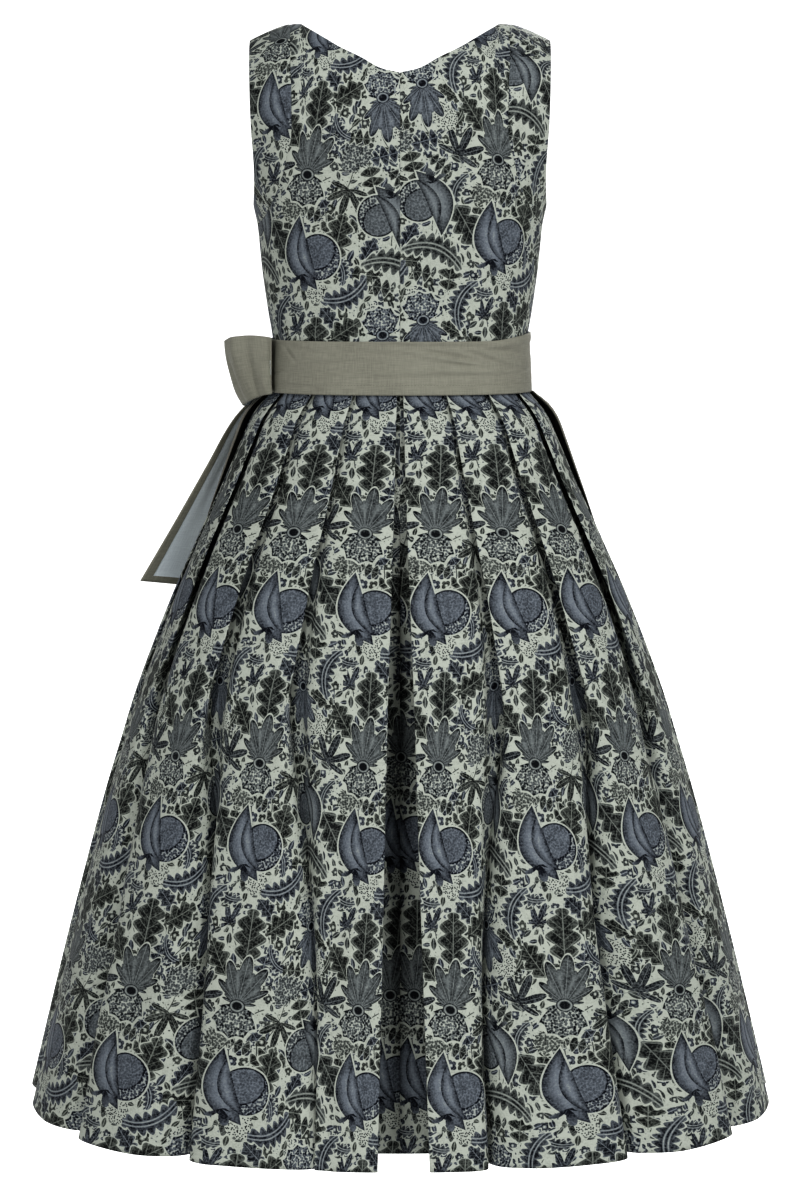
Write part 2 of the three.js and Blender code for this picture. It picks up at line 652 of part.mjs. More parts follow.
for (const [label, side, folds] of [['left', LEFT, LEFT_FOLDS], ['right', RIGHT, RIGHT_FOLDS]]) {
  add(`back_${label}`, backPanel(side), print);
  add(`side_back_${label}`, sideBackPanel(side), print);
  add(`front_${label}`, frontPanel(side), print);
  add(`side_front_${label}`, sideFrontPanel(side), print);
  add(`skirt_back_${label}`, backSkirt(side, folds), print);
  add(`skirt_front_${label}`, frontSkirt(side, folds), print);
}
add('apron', apron(), apronCloth);
add('sash_band', sashBand(), sashCloth);
add('bow_knot', bowKnot(), sashCloth);
add('bow_loop_back', bowLoop(-1), sashCloth);
add('bow_loop_front', bowLoop(1), sashCloth);
add('tail_back', bowTail(BACK_TAIL), sashCloth);
add('tail_front', bowTail(FRONT_TAIL), sashCloth);

export default group;
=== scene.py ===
import math
import random

import bmesh
import bpy
import numpy as np
from mathutils import Matrix, Vector


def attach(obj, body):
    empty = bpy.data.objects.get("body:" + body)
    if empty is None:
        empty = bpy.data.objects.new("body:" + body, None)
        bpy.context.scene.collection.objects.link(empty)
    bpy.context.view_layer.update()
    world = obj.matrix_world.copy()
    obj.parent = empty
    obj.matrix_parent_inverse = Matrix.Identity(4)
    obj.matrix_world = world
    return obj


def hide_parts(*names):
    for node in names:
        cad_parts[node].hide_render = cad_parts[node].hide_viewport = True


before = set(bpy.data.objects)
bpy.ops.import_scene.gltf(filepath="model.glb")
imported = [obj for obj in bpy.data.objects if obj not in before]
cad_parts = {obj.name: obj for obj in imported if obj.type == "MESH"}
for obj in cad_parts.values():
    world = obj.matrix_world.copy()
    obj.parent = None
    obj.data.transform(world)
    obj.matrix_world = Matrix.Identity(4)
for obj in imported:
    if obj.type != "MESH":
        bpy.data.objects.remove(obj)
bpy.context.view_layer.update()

MM = 0.001
LEFT, RIGHT = -1, 1


# ---- Camera ----

def place_camera():
    """Behind the wearer, at the height of the shoulder blades, looking a little down."""
    camera = bpy.data.objects.new("camera", bpy.data.cameras.new("camera"))
    bpy.context.collection.objects.link(camera)
    camera.location = (0, -3.7, -0.2044)
    camera.rotation_euler = (math.radians(83.4842), 0, 0)
    camera.data.sensor_width = 36
    camera.data.lens = 101.33
    bpy.context.scene.camera = camera


place_camera()

# ---- Shape tables, as the solids have them ----

# Drops are measured down from the shoulder ridge. The cloth turns over the shoulder with the radius
# SHOULDER_ROUND, and the ridge falls from the neck point to the strap's end by SHOULDER_FALL, which
# fades out by the drop FALL_FADE.
SQUARENESS = 0.03
SEAM_GAP = 0.3
SHOULDER_ROUND = 105
SHOULDER_FALL = 18
SHOULDER_BEND = 1.3
NECK_POINT = 118
STRAP_END = 163
FALL_FADE = 150
WAIST = 368
ARMHOLE_END = 195
SIDE_BACK_END = 214
SIDE_BACK_TIP = 216


def rows(names, *values):
    """A table: one dictionary for each row of values."""
    return [dict(zip(names.split(), row)) for row in values]


# The body's half width, and how far it reaches back and forward, at each drop.
TORSO = rows(
    "drop half_width back front",
    (0, 188, 108, 74),
    (50, 186, 110, 80),
    (100, 182, 112, 94),
    (150, 172, 112, 112),
    (195, 159.5, 111, 126),
    (216, 155, 110, 130),
    (240, 152.5, 109, 130),
    (265, 150, 107, 126),
    (308, 144, 104, 110),
    (338, 139, 103, 103),
    (368, 136, 101, 101),
)
# The bust's swell over the front.
CUP = {"x": 74, "drop": 232, "width": 40, "height": 46, "depth": 9}
# Neck edges as drops across the body, and seams and armholes as distances from its middle.
BACK_NECK = rows(
    "x drop", (0, 55), (21, 50), (42, 38), (64, 27), (77, 19), (93, 9), (102, 3.5), (108, 0), (200, 0)
)
FRONT_NECK = rows(
    "x drop", (0, 178), (30, 175), (60, 162), (80, 138), (94, 96), (103, 40), (108, 0), (200, 0)
)
NO_NECK = rows("x drop", (0, 0), (1, 0))
MIDDLE_SEAM = rows("drop x", (0, 0), (1, 0))
SIDE_BACK_SEAM = rows(
    "drop x",
    (0, 118), (118, 115), (143, 120), (171, 127.5), (195, 139), (208, 147), (214, 152.6), (216, 154.4),
)
BACK_ARMHOLE = rows("drop x", (0, 163), (43, 162), (107, 160), (150, 157.5), (175, 157.5), (195, 159.2))
FRONT_SEAM = rows(
    "drop x", (0, 118), (60, 114), (120, 106), (180, 96), (235, 86), (300, 73), (368, 64)
)
FRONT_ARMHOLE = rows("drop x", (0, 163), (45, 154), (100, 147), (150, 148), (180, 154), (195, 159.2))

# Each pleat takes PLEAT_CLOTH of cloth, and its layers lie FOLD_GAP apart. The middle of the back is
# let in by MIDDLE_RECESS, from none at RECESS_TOP on, over the next RECESS_RUN.
PLEAT_CLOTH = 165
PLEATS_A_SIDE = 8
FOLD_GAP = 2.7
MIDDLE_RECESS = 42
RECESS_TOP = 500
RECESS_RUN = 260
MIDDLE_SECTION = 700
# The skirt's sections: depth_ratio is the depth for the width, fold_depth how far the pleats stand
# out, and open goes from the pressed pleat at 0 to the opened one at 1.
SKIRT = rows(
    "drop half_width depth_ratio fold_depth open",
    (368.3, 137.4, 0.75, 7.6, 0),
    (396, 142, 0.75, 7.8, 0),
    (408, 152, 0.755, 8, 0),
    (424, 163.5, 0.76, 8.4, 0),
    (450, 175, 0.77, 9.2, 0),
    (492, 193, 0.785, 10.6, 0),
    (548, 219, 0.81, 12.6, 0.02),
    (622, 252, 0.835, 16.5, 0.1),
    (720, 290, 0.86, 21, 0.3),
    (785, 310.5, 0.869, 23.6, 0.48),
    (850, 330, 0.875, 26, 0.65),
    (1000, 370, 0.885, 28, 0.92),
    (1170, 412, 0.885, 28, 1),
)
# Each fold's place, in pleats from the centre back, at the waist, at MIDDLE_SECTION and at the hem.
# face is the share of the way to the next fold at which the opened pleat's face turns down, and
# shut how much of the valley beyond it is filled in at the hem.
RIGHT_FOLDS = rows(
    "waist middle hem depth face shut",
    (0.06, 0.14, 0.2, 1, 0.47, 0.2),
    (1.02, 1.08, 1.08, 1, 0.52, 0),
    (2, 2, 2.12, 1.04, 0.5, 0),
    (2.94, 2.94, 3.08, 1.04, 0.58, 0),
    (3.97, 3.96, 4.06, 0.98, 0.5, 0.1),
    (5, 5.03, 4.98, 1, 0.55, 0),
    (6, 6.04, 6.08, 0.9, 0.5, 0.2),
    (7, 6.96, 6.92, 1, 0.55, 0),
)
LEFT_FOLDS = rows(
    "waist middle hem depth face shut",
    (0.06, 0.12, 0.15, 1, 0.5, 0.85),
    (1.03, 1.17, 1.02, 0.96, 0.5, 0),
    (2, 2.02, 1.96, 1.05, 0.48, 0),
    (2.96, 3, 3.02, 1, 0.55, 0),
    (4, 3.94, 4.04, 1.04, 0.5, 0),
    (5, 4.96, 5.08, 0.95, 0.54, 0.2),
    (6, 5.98, 5.94, 1, 0.5, 0),
    (7, 7.05, 7.04, 1, 0.55, 0.1),
)
# How far the middle's own underlaps reach in from its two folds.
UNDERLAP = {"waist": 40, "hem": 48}
# A pleat's corners, down its face and back along its return: across and rise place the same
# corners on the opened pleat.
PLEAT_POINTS = rows(
    "leg reach across rise",
    ("face", 0, 0, 1),
    ("face", 0.25, 0.3, 1),
    ("face", 0.5, 0.84, 0.96),
    ("face", 0.75, 1, 0.55),
    ("face", 1, 0.97, -0.3),
    ("return", 0, 1.02, -0.6),
    ("return", 0.5, 0.84, 0.4),
    ("return", 1, 0.34, 0.95),
)
# A section begins with the middle's corners, and the side seam lies inside the fourth pleat.
MIDDLE_CORNERS = 6
SIDE_SEAM = MIDDLE_CORNERS + 3 * len(PLEAT_POINTS) + 6
HEM = 1170

SASH = rows("drop half_width half_depth", (339, 140.5, 104.9), (368, 142.6, 106.4), (396, 143.6, 107.9))
KNOT = {"angle": 112, "width": 30, "height": 44, "thickness": 17, "drop": 375.4, "out": 1.4}
# A loop from the knot and back: its angle past the knot's, its distance out from the sash, and its
# top and bottom drops. lean draws its lower edge in.
LOOP = rows(
    "angle out top bottom lean",
    (7.5, 9, 352, 398, 0),
    (12, 27, 343, 408, 6),
    (20, 43, 342, 413, 18),
    (28, 49, 341, 410, 22),
    (35, 42, 336, 406, 18),
    (42, 26, 334, 400, 9),
    (48, 9, 336, 397, 2),
    (44, 4.4, 338, 396, 0),
    (22, 2.8, 340, 393, 0),
    (14, 2.8, 344, 394, 0),
    (7.5, 3.6, 352, 396, 0),
)
# The hanging ends' two edges at each drop.
BACK_TAIL = rows(
    "drop outer_x outer_y inner_x inner_y",
    (398.2, -149, 36, -144, 48),
    (403, -159, 35, -150, 57),
    (430, -184.5, 24, -169, 68),
    (480, -213, 18, -191, 77),
    (545, -249.5, 13, -219, 88),
    (611, -287, 10, -251, 98),
)
FRONT_TAIL = rows(
    "drop outer_x outer_y inner_x inner_y",
    (398.2, -143, 51, -139, 61),
    (412, -153, 64, -147.5, 75),
    (430, -158, 84, -130, 120),
    (480, -171, 107, -133, 149),
    (545, -187, 138, -141, 185),
    (628, -211, 172, -154, 223),
)
# The apron: the angle of its edges from the centre front, its distance out from the skirt and the
# height of its flutes.
APRON_FLUTES = 12
APRON = rows(
    "drop edge out flute",
    (396.5, 92, 1.6, 0),
    (408, 93, 6, 1.5),
    (424, 93, 6.5, 2),
    (450, 91, 5.5, 3),
    (492, 86, 4, 4),
    (548, 77, 2.8, 5),
    (622, 68, 2.4, 6.5),
    (720, 62, 2.4, 8),
    (850, 57, 2.4, 10),
    (1000, 53, 2.4, 12),
    (1105, 51, 2.4, 13),
)


def curve(keys, values, place):
    """A smooth curve through values at their keys, at one place or many."""
    keys, values = np.asarray(keys, float), np.asarray(values, float)
    last = len(keys) - 1
    place = np.clip(place, keys[0], keys[-1])
    a = np.clip(np.searchsorted(keys, place, side="right") - 1, 0, last - 1)
    b = a + 1
    before, after = np.maximum(a - 1, 0), np.minimum(a + 2, last)
    span = keys[b] - keys[a]
    f = (place - keys[a]) / span
    slope_a = (values[b] - values[before]) / (keys[b] - keys[before]) * span
    slope_b = (values[after] - values[a]) / (keys[after] - keys[a]) * span
    return (
        (2 * f**3 - 3 * f**2 + 1) * values[a]
        + (f**3 - 2 * f**2 + f) * slope_a
        + (3 * f**2 - 2 * f**3) * values[b]
        + (f**3 - f**2) * slope_b
    )


def read(table, column, place, key="drop"):
    """One column of a table, read smoothly at a place along its key."""
    return curve([row[key] for row in table], [row[column] for row in table], place)


def mix(a, b, f):
    return a + (b - a) * f


def columns_of(table, *names):
    return [np.array([row[name] for row in table], float) for name in names]


def distances(steps):
    """Distances along a row of steps, from 0 at its start; many rows at once."""
    return np.concatenate([np.zeros((*steps.shape[:-1], 1)), np.cumsum(steps, axis=-1)], axis=-1)


def lengths(vectors):
    return np.linalg.norm(vectors, axis=-1)


def unit(vectors):
    return vectors / np.linalg.norm(vectors, axis=-1, keepdims=True)


# ---- The body that the bodice is cut to ----

def around(angle, half_width, half_depth):
    """Round the body from the centre back over the side to the centre front."""
    x = half_width * (np.sin(angle) + SQUARENESS * np.sin(3 * angle)) / (1 - SQUARENESS)
    y = -half_depth * (np.cos(angle) - SQUARENESS * np.cos(3 * angle)) / (1 - SQUARENESS)
    return x, y


QUARTER_POINTS = 2000
QUARTER = np.linspace(0, math.pi / 2, QUARTER_POINTS)
QUARTER_WIDTHS = around(QUARTER, 1, 1)[0]
ROUND_LENGTH = SHOULDER_ROUND * math.pi / 2


def angle_at(x, half_width):
    return np.interp(np.minimum(x / half_width, 1), QUARTER_WIDTHS, QUARTER)


def way_to(drop):
    """The cloth's way from the shoulder ridge down to a depth."""
    turned = SHOULDER_ROUND * np.arccos(np.clip(1 - drop / SHOULDER_ROUND, 0, 1))
    return np.where(drop < SHOULDER_ROUND, turned, ROUND_LENGTH + drop - SHOULDER_ROUND)


def drop_after(way):
    turned = SHOULDER_ROUND * (1 - np.cos(np.minimum(way, ROUND_LENGTH) / SHOULDER_ROUND))
    return np.where(way < ROUND_LENGTH, turned, SHOULDER_ROUND + way - ROUND_LENGTH)


def body_point(face, angle, way):
    drop = drop_after(way)
    depth = read(TORSO, face, drop) * np.sin(np.minimum(way, ROUND_LENGTH) / SHOULDER_ROUND)
    x, y = around(angle, read(TORSO, "half_width", drop), depth)
    slope = np.maximum((x - NECK_POINT) / (STRAP_END - NECK_POINT), 0) ** SHOULDER_BEND
    fall = SHOULDER_FALL * slope * np.maximum(1 - drop / FALL_FADE, 0)
    if face == "front":
        cup = CUP["depth"] * np.exp(
            -(((x - CUP["x"]) / CUP["width"]) ** 2) - ((drop - CUP["drop"]) / CUP["height"]) ** 2
        )
        y = cup - y
    return np.stack([x, y, -drop - fall], axis=-1)


def body_normal(face, angle, way):
    near = 0.01
    turn = body_point(face, angle + near, way) - body_point(face, angle - near, way)
    down = body_point(face, angle, way + 1) - body_point(face, angle, np.maximum(way - 1, 0))
    normal = unit(np.cross(turn, down))
    return -normal if face == "back" else normal


# ---- Sheets of cloth ----

def steps_between(length, spacing, edge=()):
    """Places from 0 to length, evenly spaced, with closer ones at the given distances from each end."""
    count = max(int(round(length / spacing)), 2)
    even = np.linspace(0, length, count + 1)
    near = [d for d in edge if d < even[1]]
    return np.array(sorted({*even.round(4), *near, *[round(length - d, 4) for d in near]}))


def new_piece(name, bm):
    """The finished mesh as a piece of its own, smooth shaded."""
    mesh = bpy.data.meshes.new(name)
    bm.to_mesh(mesh)
    bm.free()
    mesh.shade_smooth()
    piece = bpy.data.objects.new(name, mesh)
    bpy.context.collection.objects.link(piece)
    return piece


def places_in(mesh):
    """Where each vertex is, one row for each."""
    places = np.empty(len(mesh.vertices) * 3)
    mesh.vertices.foreach_get("co", places)
    return places.reshape(-1, 3)


def corners(mesh):
    """The vertex at each corner of each face, four a face."""
    index = np.empty(len(mesh.loops), dtype=np.int32)
    mesh.loops.foreach_get("vertex_index", index)
    return index


def set_vectors(mesh, name, vectors):
    """Gives each corner of each face a vector that the materials can read."""
    mesh.attributes.new(name, "FLOAT_VECTOR", "CORNER").data.foreach_set("vector", vectors.ravel())


PRINT_WALL = 0.7
grid_places = {}


def sheet_mesh(name, points, cloth=None, thickness=PRINT_WALL):
    """A sheet through a grid of points, rows by columns, with its outer side out."""
    count_down, count_across = points.shape[:2]
    bm = bmesh.new()
    bmesh.ops.create_grid(bm, x_segments=count_across - 1, y_segments=count_down - 1, size=1)
    piece = new_piece(name, bm)
    mesh = piece.data
    flat = places_in(mesh)
    column = np.rint((flat[:, 0] + 1) / 2 * (count_across - 1)).astype(int)
    row = np.rint((1 - flat[:, 1]) / 2 * (count_down - 1)).astype(int)
    mesh.vertices.foreach_set("co", (points[row, column] * MM).ravel())
    down = points[1:, :-1] - points[:-1, :-1]
    across = points[:-1, 1:] - points[:-1, :-1]
    outward = np.cross(down, across)
    middle = (points[1:, :-1] + points[:-1, 1:]) / 2
    if (outward[..., :2] * middle[..., :2]).sum() < 0:
        mesh.flip_normals()
    mesh.update()
    lay_out(mesh, row, column, points)
    grid_places[mesh.name] = row, column
    if cloth is not None:
        lay_print(mesh, cloth[row, column])
    wall = piece.modifiers.new("thickness", "SOLIDIFY")
    wall.thickness = thickness * MM
    wall.offset = -1
    wall.use_even_offset = False
    return piece


def lay_out(mesh, row, column, points):
    """A flat map of the cut, a margin inside the square, and the same in metres for the weave."""
    v = distances(lengths(np.diff(points, axis=0)).max(axis=1))
    u = distances(lengths(np.diff(points, axis=1)).max(axis=0))
    size = max(u[-1], v[-1])
    margin = 0.01
    index = corners(mesh)
    layer = mesh.uv_layers.new(name="OFBake")
    places = np.stack([u[column[index]] / size, 1 - v[row[index]] / size], axis=1)
    layer.data.foreach_set("uv", (places * (1 - 2 * margin) + margin).ravel())
    set_vectors(mesh, "cloth", np.stack([u[column[index]], v[row[index]], 0 * index], axis=1) * MM)


# ---- The print: one repeat, charted ----

REPEAT = np.array([165.0, 250.0])

# Motifs: the middle's place across and down the repeat, half its height, its turn in degrees, its
# kind and how blue it is.
BLOOMS = rows(
    "x y size turn kind blue",
    (30, 226, 40, -14, 0, 1),
    (31, 132, 46, 10, 1, 0.5),
    (112, 74, 42, 172, 1, 0.9),
    (116, 190, 36, 158, 0, 0.7),
)
PALM, LOBED, SPRIG, FEATHER, UMBEL, PEONY = 0, 1, 1.4, 2, 3, 4
BRANCHES = rows(
    "x y size turn kind blue",
    (36, 72, 28, 4, LOBED, 0.15),
    (68, 60, 22, 58, LOBED, 0.1),
    (10, 52, 17, -20, PALM, 0.9),
    (82, 128, 25, -30, PEONY, 0.5),
    (63, 210, 25, 14, LOBED, 0.1),
    (154, 130, 22, 30, PALM, 0.6),
    (70, 18, 31, 66, FEATHER, 0.9),
    (122, 242, 34, -72, FEATHER, 0.3),
    (154, 46, 28, 200, FEATHER, 0.8),
    (158, 214, 26, 150, LOBED, 0.2),
    (72, 168, 19, 200, PALM, 0.15),
    (12, 176, 22, 150, PEONY, 0.2),
    (40, 16, 17, 0, UMBEL, 0.3),
    (136, 100, 16, 40, UMBEL, 0.3),
    (98, 38, 12, 90, UMBEL, 0.6),
)
LEAVES = rows(
    "x y size turn kind blue",
    (58, 194, 17, 62, SPRIG, 0.1),
    (4, 96, 21, -30, LOBED, 0.1),
    (66, 96, 18, 140, FEATHER, 0.9),
    (100, 150, 20, -15, SPRIG, 0.1),
    (148, 176, 20, 200, FEATHER, 0.7),
    (140, 12, 22, 10, SPRIG, 0.1),
    (44, 168, 16, 150, SPRIG, 0.9),
    (94, 250, 19, 95, LOBED, 0.1),
    (34, 18, 20, -80, SPRIG, 0.2),
    (148, 100, 19, 45, FEATHER, 0.1),
    (114, 124, 18, 75, SPRIG, 0.9),
    (6, 30, 18, 120, FEATHER, 0.7),
    (52, 104, 17, 10, SPRIG, 0.9),
    (90, 194, 17, 70, SPRIG, 0.1),
    (52, 44, 15, -40, LOBED, 0.8),
    (86, 106, 16, 95, SPRIG, 0.1),
    (2, 206, 17, 20, SPRIG, 0.1),
    (64, 244, 18, -20, FEATHER, 0.9),
    (106, 12, 17, 100, SPRIG, 0.2),
    (144, 74, 16, -60, LOBED, 0.1),
    (34, 184, 14, 110, SPRIG, 0.2),
    (96, 224, 15, 30, LOBED, 0.9),
    (130, 150, 15, 130, SPRIG, 0.2),
    (34, 84, 14, 60, SPRIG, 0.9),
)
ROSETTE, ALMOND, BERRIES = 0, 1, 2
TINY_SIZES = {ROSETTE: 6, ALMOND: 6.2, BERRIES: 5}
TINY_KINDS = (ROSETTE, ROSETTE, ALMOND, ALMOND, ALMOND, BERRIES)
TINY_GRID = 9.4
TINY_SEED = 11

# Stems: arcs by their middle, radius, first and last angle and half width.
STEMS = rows(
    "x y radius first last width",
    (70, 190, 46, 150, 250, 0.75),
    (10, 190, 40, -60, 40, 0.75),
    (60, 60, 44, 100, 190, 0.7),
    (112, 130, 50, 200, 300, 0.75),
    (150, 90, 42, 80, 190, 0.7),
    (92, 210, 34, -40, 80, 0.65),
    (30, 90, 34, -70, 50, 0.65),
    (130, 30, 36, 30, 160, 0.65),
    (150, 215, 30, 120, 260, 0.65),
    (60, 250, 30, 190, 300, 0.6),
    (100, 60, 24, -20, 100, 0.6),
    (20, 130, 60, 10, 60, 0.7),
)


def wrapped(offset):
    """How many whole repeats lie in an offset."""
    return np.rint(offset / REPEAT)


def clear_ground(x, y, taken):
    """How far a place lies from the nearest large motif's edge, over the repeat's joins too."""
    offsets = [np.array([x - row["x"], y - row["y"]]) for row, _ in taken]
    return min(
        np.hypot(*(offset - wrapped(offset) * REPEAT)) - row["size"] * share
        for offset, (row, share) in zip(offsets, taken)
    )


def tiny_motifs():
    """Rosettes, almond leaves and berries scattered over what the large motifs leave bare."""
    draw = random.Random(TINY_SEED)
    columns, down = (int(round(length / TINY_GRID)) for length in REPEAT)
    taken = [(row, 0.6) for row in BLOOMS + BRANCHES] + [(row, 0.5) for row in LEAVES]
    motifs = []
    for j in range(down):
        for i in range(columns):
            x = (i + 0.5 + draw.uniform(-0.3, 0.3) + 0.5 * (j % 2)) * REPEAT[0] / columns % REPEAT[0]
            y = (j + 0.5 + draw.uniform(-0.3, 0.3)) * REPEAT[1] / down % REPEAT[1]
            kind = draw.choice(TINY_KINDS)
            size = TINY_SIZES[kind] * draw.uniform(0.8, 1.25)
            turn, blue = draw.uniform(0, 360), draw.choice((0.1, 0.3, 0.8, 1))
            if clear_ground(x, y, taken) > -size * 0.5:
                motifs.append(dict(x=x, y=y, size=size, turn=turn, kind=kind, blue=blue))
    return motifs


TINY = tiny_motifs()


def lay_print(mesh, cloth):
    """Gives each face the motifs that lie nearest to it, with its corners' places inside them."""
    index = corners(mesh)
    at_corner = cloth[index]
    at_face = at_corner.reshape(-1, 4, 2).mean(axis=1)
    for layer, motifs in (("bloom", BLOOMS), ("branch", BRANCHES), ("leaf", LEAVES), ("tiny", TINY)):
        place, kind = nearest_motif(motifs, at_face, at_corner)
        set_vectors(mesh, layer, place)
        set_vectors(mesh, f"{layer}_kind", kind)
    set_vectors(mesh, "stem", nearest_stem(at_face, at_corner))
    set_vectors(mesh, "threads", np.concatenate([at_corner, np.zeros((len(index), 1))], axis=1) * MM)


def picked(far, middles, tile):
    """For each face's four corners, which motif lies nearest to the face and where its middle is."""
    pick = far.argmin(axis=1)
    middle = middles[pick] + tile[np.arange(len(pick)), pick] * REPEAT
    return np.repeat(pick, 4), np.repeat(middle, 4, axis=0)


def nearest_motif(motifs, at_face, at_corner):
    x, y, size, turn, kind, blue = columns_of(motifs, "x", "y", "size", "turn", "kind", "blue")
    middles = np.stack([x, y], axis=1)
    offset = at_face[:, None, :] - middles[None]
    tile = wrapped(offset)
    pick, middle = picked(lengths(offset - tile * REPEAT) - size, middles, tile)
    dx, dy = (at_corner - middle).T
    cosine, sine = np.cos(np.radians(turn[pick])), np.sin(np.radians(turn[pick]))
    place = np.stack([dx * cosine + dy * sine, dx * sine - dy * cosine, np.ones(len(pick))], axis=1)
    place /= size[pick][:, None]
    return place, np.stack([kind[pick], blue[pick], size[pick]], axis=1)


def nearest_stem(at_face, at_corner):
    x, y, radius, first, last, width = columns_of(STEMS, "x", "y", "radius", "first", "last", "width")
    middles = np.stack([x, y], axis=1)
    half = np.radians(last - first) / 2
    centre = np.radians(first + last) / 2

    def turned(offset, pick=slice(None)):
        angle = np.arctan2(offset[..., 1], offset[..., 0]) - centre[pick]
        return (angle + math.pi) % (2 * math.pi) - math.pi

    offset = at_face[:, None, :] - middles[None]
    tile = wrapped(offset)
    offset -= tile * REPEAT
    over = np.maximum(np.abs(turned(offset)) - half, 0) * radius
    pick, middle = picked(np.hypot(np.abs(lengths(offset) - radius), over), middles, tile)
    offset = at_corner - middle
    side = lengths(offset) - radius[pick]
    past = (np.abs(turned(offset, pick)) - half[pick]) * radius[pick]
    return np.stack([side, past, width[pick]], axis=1)


# ---- Materials ----

# How a mix node blends two colours: its amount is input 0, they are inputs 6 and 7.
OF_COLOURS = {"outlet": 2, "data_type": "RGBA", "clamp_factor": True}


def srgb(code):
    """A hex colour as the linear numbers that shaders take."""
    parts = [int(code[i : i + 2], 16) / 255 for i in (1, 3, 5)]
    return [p / 12.92 if p <= 0.04045 else ((p + 0.055) / 1.055) ** 2.4 for p in parts] + [1]


def node(tree, kind, links=(), outlet=0, **settings):
    """Adds a node with its settings and inputs, by number or name, and gives one of its outputs."""
    made = tree.nodes.new(kind)
    for key, value in settings.items():
        setattr(made, key, value)
    for key, value in dict(links if isinstance(links, dict) else enumerate(links)).items():
        if isinstance(value, bpy.types.NodeSocket):
            tree.links.new(value, made.inputs[key])
        elif value is not None:
            made.inputs[key].default_value = value
    return made.outputs[outlet] if len(made.outputs) else None


class Tone:
    """A number that a material works out at each spot of the cloth."""

    def __init__(self, tree, value):
        self.tree, self.value = tree, value

    def worked(self, operation, *others, use_clamp=False):
        values = [self.value, *(other.value if isinstance(other, Tone) else float(other) for other in others)]
        made = node(self.tree, "ShaderNodeMath", values, operation=operation, use_clamp=use_clamp)
        return Tone(self.tree, made)

    def __add__(self, other):
        return self.worked("ADD", other)

    def __mul__(self, other):
        return self.worked("MULTIPLY", other)

    def __sub__(self, other):
        return self.worked("SUBTRACT", other)

    def __rsub__(self, other):
        return (self * -1) + other

    def __truediv__(self, other):
        return self.worked("DIVIDE", other)

    def __gt__(self, other):
        return self.worked("GREATER_THAN", other)

    def __abs__(self):
        return self.worked("ABSOLUTE")

    __radd__ = __add__
    __rmul__ = __mul__


def clear(tone):
    """Keeps a tone between 0 and 1."""
    return tone.worked("ADD", 0, use_clamp=True)


def ripple(tone):
    """0 and up to 1 and back, once for each half turn."""
    return abs(tone.worked("SINE"))


def larger(a, b):
    return a.worked("MAXIMUM", b)


def laid_over(under, over, amount):
    return under + (over - under) * amount


def oval(x, y, middle_x, middle_y, half_width, half_height):
    """0 in the middle of an oval and 1 at its edge."""
    a, b = (x - middle_x) / half_width, (y - middle_y) / half_height
    return (a * a + b * b).worked("SQRT")


def line_at(tone, place, sharpness):
    return clear(1 - abs(tone - place) * sharpness)


# Each motif is drawn in a square from -1 to 1, up being +y. mask is where it lies, halo the bare
# ground kept round it, and shade its tone from the darkest yarn at 0 to bare ground at 1. sharp is
# how many softened edges fit in the motif's half height.

def draw_pomegranate(x, y, sharp, speck):
    """A round layered bloom: two pointed husks beside a dotted ball on a stippled crescent."""
    fruit = oval(x, y, 0.24, -0.18, 0.6, 0.62)
    ball = oval(x, y, 0.2, 0.02, 0.55, 0.52)
    husk = (1.04 - y * y) * 0.37 - abs(x + 0.36 - y * y * 0.34)
    fold = (0.66 - y * y) * 0.3 - abs(x + 0.16 - y * y * 0.4)
    down = y * -1 - 0.5
    turn, far = (x + 0.36).worked("ARCTAN2", down), oval(x, y, -0.36, -0.5, 1, 1)
    tuft = clear((abs((turn * 2.2).worked("COSINE")) * 0.46 - far) * sharp) * clear((1.5 - abs(turn)) * 9)
    in_fruit, in_ball = clear((1 - fruit) * sharp * 0.6), clear((1 - ball) * sharp * 0.5)
    in_husk, in_fold = clear(husk * sharp), clear(fold * sharp)
    shade = speck * 0.66 + 0.16
    shade = laid_over(shade, speck * 0.2 + 0.26, in_ball)
    shade = shade - (line_at(ball, 1, 14) + line_at(fruit, 0.97, 16)) * 0.5
    shade = laid_over(shade, clear(husk * 3.2) * 0.5 + speck * 0.08 + 0.02, in_husk)
    shade = laid_over(shade, clear(fold * 5.5) * 0.56 + speck * 0.08, in_fold)
    shade = laid_over(shade, clear(far * 0.9 - 0.1), tuft * (1 - in_fruit))
    mask = larger(larger(in_fruit, in_husk), tuft)
    halo = larger(clear((1.07 - fruit) * sharp), clear((husk + 0.05) * sharp))
    return mask, halo, shade


